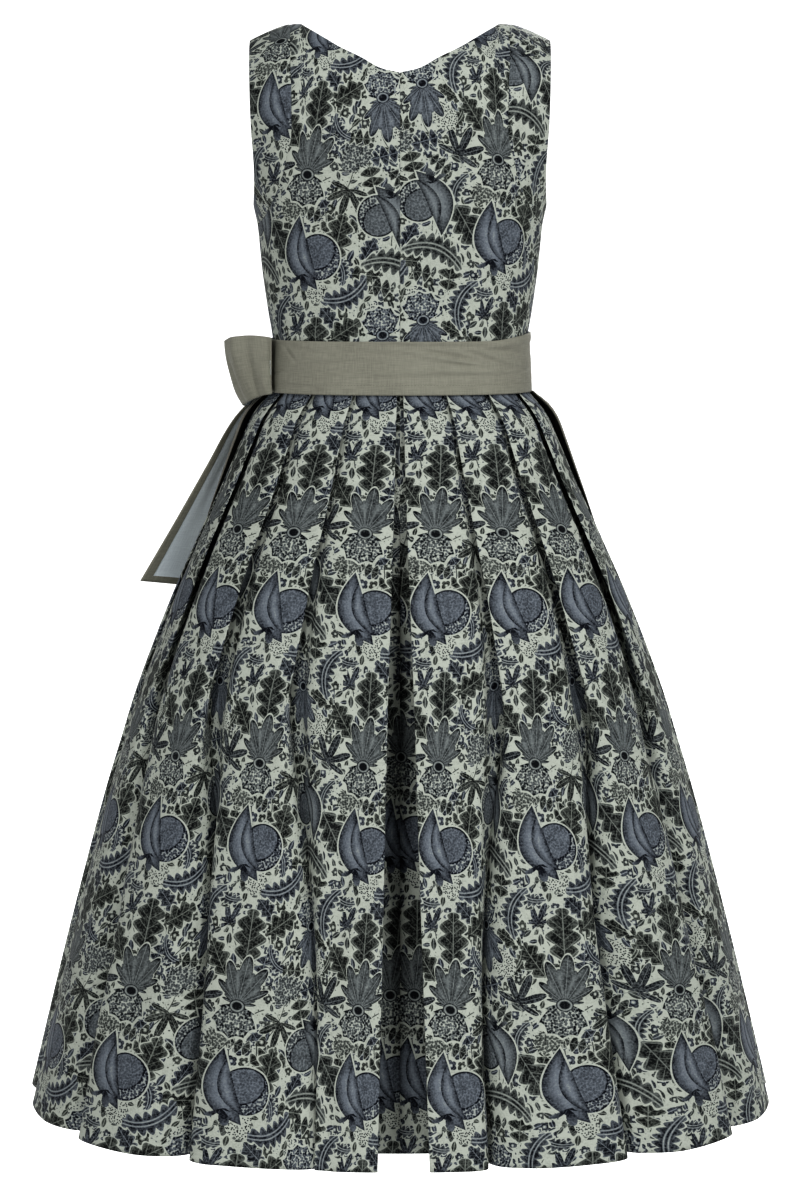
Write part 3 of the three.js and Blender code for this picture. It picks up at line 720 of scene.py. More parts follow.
def draw_carnation(x, y, sharp, speck):
    """A fan of spiky blades in two ranks over a frilled, stippled bell."""
    low = y + 0.22
    far = (x * x + low * low).worked("SQRT")
    turn = x.worked("ARCTAN2", low)
    blade, between = abs((turn * 6.5).worked("COSINE")), ripple(turn * 6.5)
    fall = (turn * 1.5).worked("COSINE")
    tip = larger(blade * 0.44 + fall * 0.46 + 0.2, between * 0.4 + fall * 0.34 + 0.06)
    spread = clear((1.75 - abs(turn)) * 8)
    in_fan = clear((tip - far) * sharp * 0.6) * spread
    frill = ripple(x.worked("ARCTAN2", y + 0.2) * 8)
    bell = oval(x, y, 0, -0.6, 0.5, 0.4) + frill * 0.16
    in_bell = clear((1 - bell) * sharp * 0.4)
    cup = oval(x, y, 0, -0.26, 0.18, 0.15)
    in_cup = clear((1 - cup) * sharp * 0.2)
    ribs = clear(1 - between * far * 11) * 0.42
    shade = ribs + 0.4 - blade * 0.34 + far * 0.16 + speck * 0.12 - line_at(tip - far, 0, 8) * 0.34
    stipple = speck * 0.7 + 0.1 + frill * 0.26 - line_at(bell, 0.96, 9) * 0.5 - line_at(bell, 0.62, 12) * 0.4
    shade = laid_over(shade, stipple, in_bell)
    shade = laid_over(shade, line_at(cup, 0.72, 5) * 0.8, in_cup)
    mask = larger(in_fan, larger(in_bell, in_cup))
    halo = larger(clear((tip + 0.04 - far) * sharp) * spread, clear((1.12 - bell) * sharp * 0.5))
    return mask, halo, shade


def draw_leaf(x, y, sharp, speck, feather, sprig):
    """An oak-like leaf with pale veins; where feather is 1 arched and toothed, where sprig is 1 cut
    into leaflets."""
    side = abs(x + feather * (y * y * 0.42 - 0.2))
    lobes = abs((y * (feather * 6 + 5.6) + 0.5).worked("COSINE"))
    long = larger(1 - y * y, 0).worked("SQRT")
    wide = long * (0.64 - feather * 0.22) * (lobes * (sprig * 0.42 + 0.5) + 0.5 - sprig * 0.44)
    mask = clear((wide - side) * sharp)
    vein = line_at((y * 2.6 - side * 2.2).worked("FRACT"), 0.5, 11)
    rib = line_at(side, feather * 0.07, 30 - feather * 8)
    shade = vein * 0.34 * (1 - feather) + speck * 0.14 + clear(1 - (wide - side) * 5) * 0.24 + 0.04
    return mask, clear((wide + 0.08 - side) * sharp), laid_over(shade, feather * 0.2 + 0.62, rib)


def draw_palm(x, y, sharp, speck):
    """A cluster of pointed leaves spread like a hand."""
    low = y + 0.5
    far = (x * x + low * low).worked("SQRT") / 1.5
    turn = x.worked("ARCTAN2", low)
    blade = abs((turn * 3.9).worked("COSINE"))
    tip = blade * blade * 0.52 + blade * 0.16 + (turn * 1.1).worked("COSINE") * 0.24 + 0.1
    mask = clear((tip - far) * sharp) * clear((2.3 - abs(turn)) * 8)
    rib = clear(1 - ripple(turn * 3.9) * far * 22) * clear(far * 8 - 1.2)
    halo = clear((tip + 0.05 - far) * sharp) * clear((2.35 - abs(turn)) * 8)
    return mask, halo, rib * 0.5 + speck * 0.18 + 0.06


def draw_peony(x, y, sharp, speck):
    """A broad jagged head, stippled a middle grey all over."""
    low = y + 0.3
    far = (x * x * 0.8 + low * low).worked("SQRT")
    turn = x.worked("ARCTAN2", low)
    teeth = (turn * 3.2).worked("FRACT") * 0.2 + ripple(turn * 2.5) * -0.12
    tip = (turn * 0.9).worked("COSINE") * 0.5 + teeth + 0.44
    veins = clear(1 - ripple(turn * 5) * far * 14) * 0.4
    edge = tip - far
    return clear(edge * sharp), clear((edge + 0.04) * sharp), speck * 0.62 + 0.14 - veins + clear(edge) * 0.2


def draw_umbel(x, y, sharp, cells):
    """A loose head of small dark berries on bare ground."""
    far = oval(x, y, 0, 0, 1, 0.9)
    disc = clear((0.92 - far) * sharp)
    return disc, disc, clear((cells - 0.22) * 7) * 0.94 + 0.06


def draw_tiny(x, y, sharp, kind):
    """A rosette, an almond leaf or three berries."""
    far = (x * x + y * y).worked("SQRT")
    turn = x.worked("ARCTAN2", y)
    rosette = clear((abs((turn * 2.5).worked("COSINE")) * 0.28 + 0.72 - far) * sharp)
    almond = clear(((1 - y * y) * 0.46 - abs(x)) * sharp)
    third = ripple(turn * 1.5)
    berries = clear((0.06 - (far - 0.6) * (far - 0.6) - third * third * 0.4) * sharp * 2.2)
    is_almond, is_berries = clear(1 - abs(kind - 1)), kind > 1.5
    mask = laid_over(laid_over(rosette, almond, is_almond), berries, is_berries)
    shade = clear(1 - far * 2.6) * (1 - is_berries) * 1.3 + line_at(far, 0.62, 9) * 0.2 + 0.08
    return mask, laid_over(shade, clear(1 - abs(x) * 9) * 0.6 + 0.12, is_almond)


def read_attribute(tree, name):
    vector = node(tree, "ShaderNodeAttribute", attribute_name=name, outlet=1)
    split = node(tree, "ShaderNodeSeparateXYZ", (vector,))
    return [Tone(tree, outlet) for outlet in split.node.outputs]


def new_material(name):
    material = bpy.data.materials.new(name)
    material.use_nodes = True
    tree = material.node_tree
    tree.nodes.clear()
    return material, tree


def finish_material(tree, colour, height, distance, **facts):
    """Cloth: one principled shader, with a bump from height, that is distance metres deep."""
    normal = node(tree, "ShaderNodeBump", {"Height": height, "Distance": distance, "Strength": 1.0})
    shader = node(tree, "ShaderNodeBsdfPrincipled", {"Base Color": colour, "Normal": normal, **facts})
    node(tree, "ShaderNodeOutputMaterial", (shader,))


def draw_layer(tree, layer, speck, cells):
    """How blue a layer's motifs are, with their mask, halo and shade, each kind drawn where it stands."""
    x, y, _ = read_attribute(tree, layer)
    kind, blue, size = read_attribute(tree, f"{layer}_kind")
    if layer == "tiny":
        mask, shade = draw_tiny(x, y, size * 1.6, kind)
        return blue, mask, None, shade
    if layer == "bloom":
        first, second = draw_pomegranate(x, y, size * 2.2, speck), draw_carnation(x, y, size * 2.2, speck)
        return blue, *(laid_over(a, b, kind > 0.5) for a, b in zip(first, second))
    is_feather = kind > 1.5
    leaf = draw_leaf(x, y, size * 2, speck, is_feather, (kind > 1.2) * (1 - is_feather))
    if layer == "leaf":
        return blue, *leaf
    palm = draw_palm(x, y, size * 2, speck)
    umbel = draw_umbel(x, y, size * 2, cells)
    peony = draw_peony(x, y, size * 2, speck)
    drawn = (laid_over(a, b, kind > 0.5) for a, b in zip(palm, leaf))
    drawn = (laid_over(a, b, kind > 2.5) for a, b in zip(drawn, umbel))
    return blue, *(laid_over(a, b, kind > 3.5) for a, b in zip(drawn, peony))


def printed_cotton():
    """Cotton jacquard: a pale sage ground with slate, navy and grey-green flowers woven in. The
    threads catch a little light, so it has a faint sheen and a fine rib."""
    material, tree = new_material("cotton jacquard")
    threads = node(tree, "ShaderNodeAttribute", attribute_name="threads", outlet=1)
    # Stippling 2.4 mm apart, yarn mottling of about 2 mm and broader patches of about 11 mm.
    cells = node(tree, "ShaderNodeTexVoronoi", {"Vector": threads, "Scale": 420.0}, voronoi_dimensions="2D")
    cells = Tone(tree, cells)
    speck = clear((cells - 0.42) * 5)
    mottle, patches = (
        Tone(tree, node(
            tree, "ShaderNodeTexNoise", {"Vector": threads, "Scale": scale, "Detail": detail},
            noise_dimensions="2D",
        ))
        for scale, detail in ((520.0, 1.0), (90.0, 2.0))
    )
    side, past, width = read_attribute(tree, "stem")
    stem = clear((width - abs(side)) * 2.4) * clear(1 - past)
    shade, blue = 1 - stem * 0.82, stem * 0.2
    for layer in ("tiny", "leaf", "branch", "bloom"):
        layer_blue, mask, halo, layer_shade = draw_layer(tree, layer, speck, cells)
        if halo:
            shade = laid_over(shade, 1, halo)
        shade, blue = laid_over(shade, layer_shade, mask), laid_over(blue, layer_blue, mask)
    shade = clear(shade + mottle * 0.36 - 0.18 + patches * 0.3 - 0.17)
    dark, middle = (
        node(tree, "ShaderNodeMix", {0: blue.value, 6: srgb(green), 7: srgb(navy)}, **OF_COLOURS)
        for green, navy in (("#101312", "#0f121a"), ("#777c74", "#747b83"))
    )
    to_middle, to_ground = clear(shade * 2).value, clear(shade * 2.2 - 1.2).value
    yarn = node(tree, "ShaderNodeMix", {0: to_middle, 6: dark, 7: middle}, **OF_COLOURS)
    colour = node(tree, "ShaderNodeMix", {0: to_ground, 6: yarn, 7: srgb("#b3b8af")}, **OF_COLOURS)
    # The rib's bands are drawn about 1.7 mm apart, coarser than the real threads, so that they show.
    rib = node(
        tree, "ShaderNodeTexWave", {"Vector": threads, "Scale": 260.0, "Distortion": 0.6}, outlet=1,
        wave_type="BANDS", bands_direction="DIAGONAL",
    )
    finish_material(
        tree, colour, rib, 0.00008,
        **{"Roughness": 0.7, "Specular IOR Level": 0.1, "Sheen Weight": 0.02, "Sheen Roughness": 0.5},
    )
    return material


def plain_weave(name, warp, weft, streak):
    """Linen-like plain weave: warp and weft of two close colours with slubs along the threads."""
    material, tree = new_material(name)
    cloth = node(tree, "ShaderNodeAttribute", attribute_name="cloth", outlet=1)

    def slubs(scale):
        stretched = node(tree, "ShaderNodeMapping", {"Vector": cloth, "Scale": scale})
        return Tone(tree, node(
            tree, "ShaderNodeTexNoise", {"Vector": stretched, "Scale": 1.0, "Detail": 2.0},
            noise_dimensions="2D",
        ))

    # Slubs about 1 mm wide and 17 mm long, both ways, and broad streaks of 70 to 110 mm.
    weave = clear((slubs((60.0, 900.0, 1.0)) + slubs((900.0, 60.0, 1.0))) * 1.6 - 1.1)
    broad = clear(slubs((14.0, 9.0, 1.0)) * 0.8 - 0.25)
    colour = node(tree, "ShaderNodeMix", {0: weave.value, 6: srgb(warp), 7: srgb(weft)}, **OF_COLOURS)
    colour = node(tree, "ShaderNodeMix", {0: broad.value, 6: colour, 7: srgb(streak)}, **OF_COLOURS)
    finish_material(
        tree, colour, weave.value, 0.0001,
        **{"Roughness": 0.78, "Specular IOR Level": 0.25, "Sheen Weight": 0.1, "Sheen Roughness": 0.5},
    )
    return material


def sewing_thread():
    """Matt cotton sewing thread, a shade darker than the sash so that the stitches just show."""
    material, tree = new_material("cotton sewing thread")
    # The thread's twist, 0.4 mm.
    place = node(tree, "ShaderNodeTexCoord", outlet=3)
    twist = node(tree, "ShaderNodeTexNoise", {"Vector": place, "Scale": 2500.0, "Detail": 1.0})
    finish_material(tree, srgb("#6e6d62"), twist, 0.00005, **{"Roughness": 0.7, "Specular IOR Level": 0.2})
    return material


print_cloth = printed_cotton()
sash_cloth = plain_weave("linen blend plain weave", "#8b8b7f", "#78776d", "#98988c")
# The reverse is paler than the right side, and its colour is painted lighter still: painted light, standing
# in for the light that the shaded hanging ends catch.
reverse_painted_lighter = plain_weave("linen blend plain weave, reverse", "#dde6ea", "#d0d9de", "#e7edf0")
thread = sewing_thread()
apron_cloth = plain_weave("cotton plain weave", "#77756b", "#65635a", "#84827a")


# ---- Small forms on the cloth ----

def soft_creases(creases, x, y):
    """How far soft troughs (below 0) and ridges push the cloth, each an oval bump at its own slant."""
    push = np.zeros(np.broadcast(x, y).shape)
    for row in creases:
        slant = math.radians(row["slant"])
        along = (x - row["x"]) * math.cos(slant) + (y - row["y"]) * math.sin(slant)
        over = (y - row["y"]) * math.cos(slant) - (x - row["x"]) * math.sin(slant)
        push += row["push"] * np.exp(-((along / row["long"]) ** 2) - (over / row["wide"]) ** 2)
    return push


def pressed_edge(distance, reach, depth):
    """A turned edge: the cloth rounds away over its last bit."""
    near = np.clip(1 - distance / reach, 0, 1)
    return -depth * (1 - np.sqrt(1 - near**2))


# ---- Bodice ----

# Rows and columns stand BODICE_SPACING apart, with closer ones at EDGE_PLACES from each edge. A seam
# dips by SEAM_DIP, and an open edge rounds away by EDGE_DEPTH over its last EDGE_ROUND.
BODICE_SPACING = 3.4
EDGE_PLACES = (0.8, 2)
EDGE_TRIES = 14
EDGE_STEP = 0.6
SEAM_DIP = 0.7
SEAM_REACH = 2.2
EDGE_ROUND = 2.4
EDGE_DEPTH = 1.3


def seam_line(table, end=np.inf):
    """A seam or armhole as its distance from the middle at a drop; past its end it lies at the side."""

    def line(drop):
        return np.where(drop < end, read(table, "x", drop), np.inf)

    return line


middle_seam = seam_line(MIDDLE_SEAM)
side_back_seam = seam_line(SIDE_BACK_SEAM, SIDE_BACK_TIP)
front_seam = seam_line(FRONT_SEAM)
back_armhole = seam_line(BACK_ARMHOLE, ARMHOLE_END)
front_armhole = seam_line(FRONT_ARMHOLE, ARMHOLE_END)

# Soft creases: across and down, half length and width, slant and height; left and right of the back,
# and each half of the front.
LEFT_BACK_CREASES = rows(
    "x y long wide slant push",
    (104, -344, 30, 4.5, -14, -1.5),
    (96, -332, 34, 6, -18, 1.1),
    (74, -352, 26, 4, 6, -1.1),
    (118, -306, 24, 6, 58, -1.3),
    (132, -250, 34, 7, 76, -1.2),
    (96, -226, 30, 8, 66, 1),
    (18, -318, 40, 6, 84, -0.9),
    (62, -120, 52, 10, 72, 1.1),
    (100, -96, 30, 7, 62, -1.2),
    (70, -48, 26, 8, 40, 1),
)
RIGHT_BACK_CREASES = rows(
    "x y long wide slant push",
    (88, -350, 38, 4.5, -8, -1.4),
    (112, -334, 26, 5, -20, 1.2),
    (60, -340, 24, 5, -4, 0.9),
    (126, -286, 30, 6, 68, -1.4),
    (104, -190, 36, 9, 74, 1.1),
    (70, -270, 34, 7, 80, -0.9),
    (24, -206, 46, 9, 86, 0.9),
    (86, -116, 44, 9, 66, -1.2),
    (108, -52, 22, 7, 50, 1),
)
FRONT_CREASES = rows(
    "x y long wide slant push",
    (110, -352, 30, 5, -10, -1.4),
    (84, -340, 26, 5, 14, 1),
    (60, -322, 34, 7, 70, -1),
    (122, -276, 26, 6, 60, -1.3),
    (40, -262, 40, 9, 80, 0.9),
    (104, -150, 30, 8, 40, -1.1),
)
# A dart is a tuck sewn up from the waist: its share of the way from the middle to the side, its
# point, how far it takes to deepen, and its depth and half width.
DART = {"share": 0.185, "point": 252, "run": 30, "depth": 0.8, "reach": 1.6}
DART_COLUMNS = np.array([-1.2, -0.5, 0, 0.5, 1.2])


def seam_turn(seam, drop):
    """A seam's angle round the body; below its end it runs on along the side."""
    half_width = read(TORSO, "half_width", drop)
    return angle_at(np.minimum(seam(drop), half_width), half_width)


def bodice_panel(
    name, face, side, inner, outer, neck, foot, width,
    settled=None, open_edges=(), creases=(), dart=None, shift=(0, 0),
):
    """A panel between two seams, each given as its distance from the middle at a drop. Its rows
    start along the neck's curve and are level from the drop where they have settled."""

    def angle(share, drop):
        return mix(seam_turn(inner, drop), seam_turn(outer, drop), share)

    share = steps_between(width, BODICE_SPACING, edge=EDGE_PLACES) / width
    if dart:
        share = np.sort(np.concatenate([share, dart["share"] + DART_COLUMNS * dart["reach"] / width]))
        middle_of_dart = int(np.argmin(abs(share - dart["share"])))
    # The neck's curve is read by x, and x changes with the depth, so this comes closer step by step.
    edge_drop = np.zeros_like(share)
    for _ in range(EDGE_TRIES):
        x = around(angle(share, edge_drop), read(TORSO, "half_width", edge_drop), 1)[0]
        edge_drop = mix(edge_drop, read(neck, "drop", x, "x"), EDGE_STEP)
    start, foot_way = way_to(edge_drop)[None], float(way_to(foot))
    level = steps_between(foot_way, BODICE_SPACING, edge=EDGE_PLACES)[:, None]
    way = level + start * np.maximum(1 - level / float(way_to(settled or foot)), 0)
    way = np.clip(way, start + SEAM_GAP / 2, foot_way - SEAM_GAP / 2)
    drop = drop_after(way)
    turn = angle(share[None], drop)
    points, normal = body_point(face, turn, way), body_normal(face, turn, way)
    across = distances(lengths(np.diff(points, axis=1)))
    from_outer = across[:, -1:] - across
    lift = np.zeros(way.shape)
    for edge, distance in (("inner", across), ("outer", from_outer), ("foot", foot_way - way)):
        lift -= SEAM_DIP * np.exp(-((distance / SEAM_REACH) ** 2)) * (edge not in open_edges)
    if "neck" in open_edges:
        lift += pressed_edge(way - start, EDGE_ROUND, EDGE_DEPTH)
    if "outer" in open_edges:
        armhole = np.where(drop < ARMHOLE_END + 2, from_outer, np.inf)
        lift += pressed_edge(armhole, EDGE_ROUND, EDGE_DEPTH)
    if dart:
        from_dart = (across - across[:, middle_of_dart : middle_of_dart + 1]) / dart["reach"]
        deepened = np.clip((drop - dart["point"]) / dart["run"], 0, 1)
        lift -= dart["depth"] * np.exp(-(from_dart**2)) * deepened
    lift += soft_creases(creases, points[..., 0], -drop)
    points = points + normal * lift[..., None]
    if side == LEFT:
        points = points * (-1, 1, 1)
    from_middle = across + seam_turn(inner, drop) * read(TORSO, "half_width", drop)
    cloth = np.stack([side * from_middle + shift[0], way + shift[1]], axis=-1)
    node_name = f"{name}_{'left' if side == LEFT else 'right'}"
    piece = sheet_mesh(f"{node_name}_cloth", points, cloth)
    return dress(piece, print_cloth, "printed_cloth", node_name)


def dress(piece, material, slot, *nodes):
    """Gives a piece its cloth, hangs it from the root body and hides the parts that it replaces."""
    piece.data.materials.append(material)
    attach(piece, "root")
    if nodes:
        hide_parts(*nodes)
    return piece


for side, back_creases, back_shift in (
    (LEFT, LEFT_BACK_CREASES, (129, 171)), (RIGHT, RIGHT_BACK_CREASES, (86, 187))
):
    bodice_panel(
        "back", "back", side, middle_seam, side_back_seam, BACK_NECK, WAIST, 150,
        settled=200, open_edges=("neck",), creases=back_creases, dart=DART, shift=back_shift,
    )
    bodice_panel(
        "side_back", "back", side, side_back_seam, back_armhole, NO_NECK, SIDE_BACK_END, 42,
        open_edges=("outer", "neck"), shift=(-10, 80),
    )
    bodice_panel(
        "front", "front", side, middle_seam, front_seam, FRONT_NECK, WAIST, 110,
        open_edges=("neck",), creases=FRONT_CREASES, shift=(20, 90),
    )
    bodice_panel(
        "side_front", "front", side, front_seam, front_armhole, NO_NECK, WAIST, 95,
        open_edges=("outer", "neck"), creases=FRONT_CREASES, shift=(60, 30),
    )


# ---- Skirt ----

# LEAST_FACE is how much of a pleat's face its underlap always leaves free.
SKIRT_TOP = SKIRT[0]["drop"]
SKIRT_ROW = 5.0
RING_POINTS = 500
LEAST_FACE = 4
LAST_COLUMNS = 5
# The visible face of a pressed pleat, by quarters: its share of the way to the next fold, and its
# share of the fold's height.
ROLLED_FACE = ((0, 1), (0.5, 0.98), (0.9, 0.84), (0.985, -0.2), (1, -0.04))
BACK_COLUMN = 4.3
FRONT_COLUMN = 6.5


def fold_place(fold, drop):
    """A fold's place, in pleats from the centre back, at each drop."""
    upper = mix(fold["waist"], fold["middle"], (drop - SKIRT_TOP) / (MIDDLE_SECTION - SKIRT_TOP))
    lower = mix(fold["middle"], fold["hem"], (drop - MIDDLE_SECTION) / (HEM - MIDDLE_SECTION))
    return np.where(drop < MIDDLE_SECTION, upper, lower)


def underlap(width, depth):
    """How far a pleat's inner fold lies beyond its face, so that it takes up its share of cloth."""
    spare = (PLEAT_CLOTH**2 - width**2) / (2 * PLEAT_CLOTH)
    root = np.sqrt(np.maximum(width**2 + 2 * PLEAT_CLOTH * (spare - depth**2 / spare), 0))
    return np.minimum((root - width) / 2, width - LEAST_FACE)


def half_ring(drop):
    """Angles and lengths round half a section, inside the pleats, one row for each depth."""
    fold = read(SKIRT, "fold_depth", drop)
    half_width = read(SKIRT, "half_width", drop)
    half_depth = half_width * read(SKIRT, "depth_ratio", drop) - fold - PRINT_WALL
    angle = np.linspace(0, math.pi, RING_POINTS)
    x, y = around(angle[None], (half_width - fold - PRINT_WALL)[:, None], half_depth[:, None])
    return angle, x, y, distances(np.hypot(np.diff(x), np.diff(y)))


def pleat_outline(folds, drop, ring_length):
    """The corners of half a section, as lengths round the ring and distances out from it."""
    depths = [fold["depth"] * read(SKIRT, "fold_depth", drop) for fold in folds]
    opened = read(SKIRT, "open", drop)
    pleat = ring_length / PLEATS_A_SIDE
    starts = [fold_place(fold, drop) * pleat for fold in folds]
    lap = mix(UNDERLAP["waist"], UNDERLAP["hem"], np.maximum((drop - WAIST) / (HEM - WAIST), 0))
    inner = starts[0] + lap
    low = np.maximum((drop - MIDDLE_SECTION) / (HEM - MIDDLE_SECTION), 0)
    zero = 0 * drop
    back = -MIDDLE_RECESS * np.clip((drop - RECESS_TOP) / RECESS_RUN, 0, 1)
    points = [
        (zero, back), (inner / 2, back), (inner, back), (inner, back + FOLD_GAP),
        (starts[0] + lap / 2, (depths[0] + back) / 2), (starts[0], depths[0] - FOLD_GAP),
    ]
    for k in range(PLEATS_A_SIDE - 1):
        width = starts[k + 1] - starts[k]
        under = underlap(width, depths[k])
        for point in PLEAT_POINTS:
            reach = point["reach"]
            if point["leg"] == "face":
                quarter = int(reach * 4)
                along = width * ROLLED_FACE[quarter][0] + under * (quarter == 4)
                out, crest = depths[k] * ROLLED_FACE[quarter][1], depths[k]
            else:
                along, crest = width + under * (1 - reach), depths[k + 1]
                out = mix(FOLD_GAP, crest - FOLD_GAP, reach)
            face = folds[k]["face"]
            across = face * point["across"] if point["leg"] == "face" else mix(1, face, point["across"])
            rise = 1 - (1 - point["rise"]) * (1 - folds[k]["shut"] * low)
            along = mix(along, width * across, opened)
            points.append((starts[k] + along, mix(out, crest * rise, opened)))
    last = np.linspace(0, 1, LAST_COLUMNS)
    points += [(mix(starts[-1], ring_length, share), depths[-1]) for share in last]
    return np.array(points).transpose(2, 0, 1)


def rounded(outline, spacing):
    """Rounds the corners: each turn runs from the middle of one side to the middle of the next."""
    middles = (outline[:, 1:] + outline[:, :-1]) / 2
    middles[:, 0], middles[:, -1] = outline[:, 0], outline[:, -1]
    columns, corner = [], []
    for i in range(1, outline.shape[1] - 1):
        a, b, c = middles[:, i - 1], outline[:, i], middles[:, i]
        reach = (lengths(b - a) + lengths(c - b)).max()
        count = 2 * max(int(math.ceil(reach / spacing / 2)), 2)
        for f in np.arange(count) / count:
            columns.append((1 - f) ** 2 * a + 2 * f * (1 - f) * b + f**2 * c)
            corner.append(i + f - 0.5)
    columns.append(outline[:, -1])
    corner.append(outline.shape[1] - 1)
    return np.array(columns).transpose(1, 0, 2), np.array(corner)


# Long soft troughs (below 0) and ridges down the skirt, placed as on the bodice but by x on both sides.
SKIRT_CREASES = rows(
    "x y long wide slant push",
    (-192, -820, 130, 12, 74, -5),
    (-118, -690, 110, 10, 79, -4),
    (-62, -905, 150, 13, 86, -4.5),
    (-250, -985, 110, 14, 72, -6),
    (-312, -1085, 80, 12, 70, 4),
    (-168, -1065, 110, 12, 78, 4.5),
    (-36, -560, 70, 8, 88, -3),
    (-230, -640, 80, 9, 68, -4),
    (-70, -1100, 90, 12, 84, -5),
    (62, -750, 120, 11, 93, -4),
    (132, -880, 140, 13, 101, -5),
    (208, -960, 130, 13, 105, -5.5),
    (262, -800, 100, 11, 109, -4.5),
    (306, -1070, 90, 12, 108, 4),
    (92, -1085, 90, 13, 94, 4.5),
    (176, -650, 90, 9, 104, -3.5),
    (240, -1110, 70, 11, 100, -5),
    (40, -1020, 90, 12, 91, -4),
)


def cloth_across(section, corner):
    """How far across the cloth each place lies: each pleat takes the same width from fold to fold."""
    way = distances(lengths(np.diff(section, axis=1)))
    marks = [MIDDLE_CORNERS - 0.5 + len(PLEAT_POINTS) * k for k in range(PLEATS_A_SIDE)]
    widths = PLEAT_CLOTH * np.arange(-1, PLEATS_A_SIDE + 1)
    across = np.empty_like(way)
    for i, row in enumerate(way):
        folds = np.interp(marks, corner, row)
        across[i] = np.interp(row, [folds[0] - PLEAT_CLOTH, *folds, folds[-1] + PLEAT_CLOTH], widths)
    return across


def skirt_panel(name, side, folds, part, spacing, shift):
    """A quarter of the skirt, from its middle seam to its side seam, through all its pleats."""
    drop = np.linspace(SKIRT_TOP, HEM, int(round((HEM - SKIRT_TOP) / SKIRT_ROW)) + 1)
    angle, ring_x, ring_y, length = half_ring(drop)
    section, corner = rounded(pleat_outline(folds, drop, length[:, -1]), spacing)
    across = cloth_across(section, corner)
    fall = np.gradient(read(SKIRT, "half_width", drop), drop)
    down = distances(np.hypot(1, (fall[1:] + fall[:-1]) / 2) * np.diff(drop))
    keep = corner <= SIDE_SEAM if part == "back" else corner >= SIDE_SEAM
    section, across = section[:, keep], across[:, keep]
    points = np.empty((*across.shape, 3))
    for i in range(len(drop)):
        turn = np.interp(section[i, :, 0], length[i], angle)
        x, y = np.interp(turn, angle, ring_x[i]), np.interp(turn, angle, ring_y[i])
        slope_x, slope_y = np.gradient(ring_x[i], angle), np.gradient(ring_y[i], angle)
        along = unit(np.stack([np.interp(turn, angle, slope_x), np.interp(turn, angle, slope_y)], axis=1))
        out = section[i, :, 1] + soft_creases(SKIRT_CREASES, side * np.where(y < 0, x, -x), -drop[i])
        out = np.minimum(out, section[i, :, 1].max())
        points[i, :, 0] = side * (x + along[:, 1] * out)
        points[i, :, 1] = y - along[:, 0] * out
        points[i, :, 2] = -drop[i]
    # The middle seam lies in the middle, so that the two halves meet.
    points[:, 0 if part == "back" else -1, 0] = 0
    down = np.broadcast_to(down[:, None], across.shape)
    cloth = np.stack([side * across + shift[0], down + shift[1]], axis=-1)
    piece = sheet_mesh(f"{name}_cloth", points, cloth)
    return dress(piece, print_cloth, "printed_cloth", name)


for label, side, folds, shift in (("left", LEFT, LEFT_FOLDS, 58), ("right", RIGHT, RIGHT_FOLDS, 0)):
    for part, spacing in (("back", BACK_COLUMN), ("front", FRONT_COLUMN)):
        skirt_panel(f"skirt_{part}_{label}", side, folds, part, spacing, (shift, -44))


# ---- Stitching ----

# The pitch of the stitches, a bead's half length and half thickness, how far it stands off, and how
# many columns and rows of a hanging end a stitch row stays inside its hem.
STITCH = {"pitch": 3.4, "long": 1.15, "thick": 0.28, "lift": 0.1, "inset": 3}
STITCH_SIZE = (STITCH["long"] * MM, STITCH["thick"] * MM, STITCH["thick"] * MM, 1)


def stitches(name, path, outward):
    """A row of machine stitches, each a small bead of thread lying on the cloth along a path."""
    length = distances(lengths(np.diff(path, axis=0)))

    def along(values, place):
        return Vector([float(np.interp(place, length, values[:, i])) for i in range(3)])

    bm = bmesh.new()
    size = Matrix.Diagonal(STITCH_SIZE)
    for place in np.arange(STITCH["pitch"] / 2, length[-1], STITCH["pitch"]):
        forward = (along(path, place + 0.5) - along(path, place - 0.5)).normalized()
        up = along(outward, place)
        side = up.cross(forward).normalized()
        turn = Matrix((forward, side, forward.cross(side))).transposed().to_4x4()
        matrix = Matrix.Translation(along(path, place) * MM) @ turn @ size
        bmesh.ops.create_icosphere(bm, subdivisions=1, radius=1, matrix=matrix)
    return dress(new_piece(name, bm), thread, None)


# ---- Sash and bow ----

SASH_WALL = 1.6
BOW_WALL = SASH_WALL * 0.6
# Troughs (below 0) and ridges over the back of the band: middle, half lengths, slant and height.
SASH_CREASES = rows(
    "x y long wide slant push",
    (52, -354, 44, 2.2, -11, -2.55),
    (60, -359.5, 40, 2.6, -12, 1.87),
    (92, -357, 24, 2, -19, -2.38),
    (86, -366, 46, 2.2, -5, -2.21),
    (70, -371, 40, 2.4, -2, 1.53),
    (20, -377, 80, 2.6, 1, -1.19),
    (35, -344, 60, 1.8, -1, -1.7),
    (112, -350, 22, 2, -7, -2.55),
    (104, -345.5, 26, 2.2, 4, 2.04),
    (124, -374, 14, 2, 6, -1.53),
    (-118, -353, 9, 1.6, -52, -1.87),
    (-96, -350, 22, 2, -12, -1.36),
    (-70, -362, 34, 2.8, 3, -1.02),
    (-128, -372, 10, 1.8, 24, -1.36),
    (-20, -352, 40, 2.4, -4, -0.85),
    (-104, -384, 20, 2, -2, 0.85),
)
SASH_START = KNOT["angle"] + 2
SASH_END = KNOT["angle"] + 358
SASH_COLUMNS = 361
SASH_ROW = 1.9
SASH_LIFT = 0.8
# The stitch row near the sash's lower edge lies in a fine dip.
SASH_SEAM = {"drop": 385.5, "depth": 0.35, "reach": 0.9}
# The wound end lies over the first round: it comes up over run from x on, and its edge lies at drop,
# slanting across, with a step of soft width.
OVERLAP = {"x": 60, "run": 40, "drop": 343.5, "slant": 0.022, "soft": 0.5, "height": 1.3}
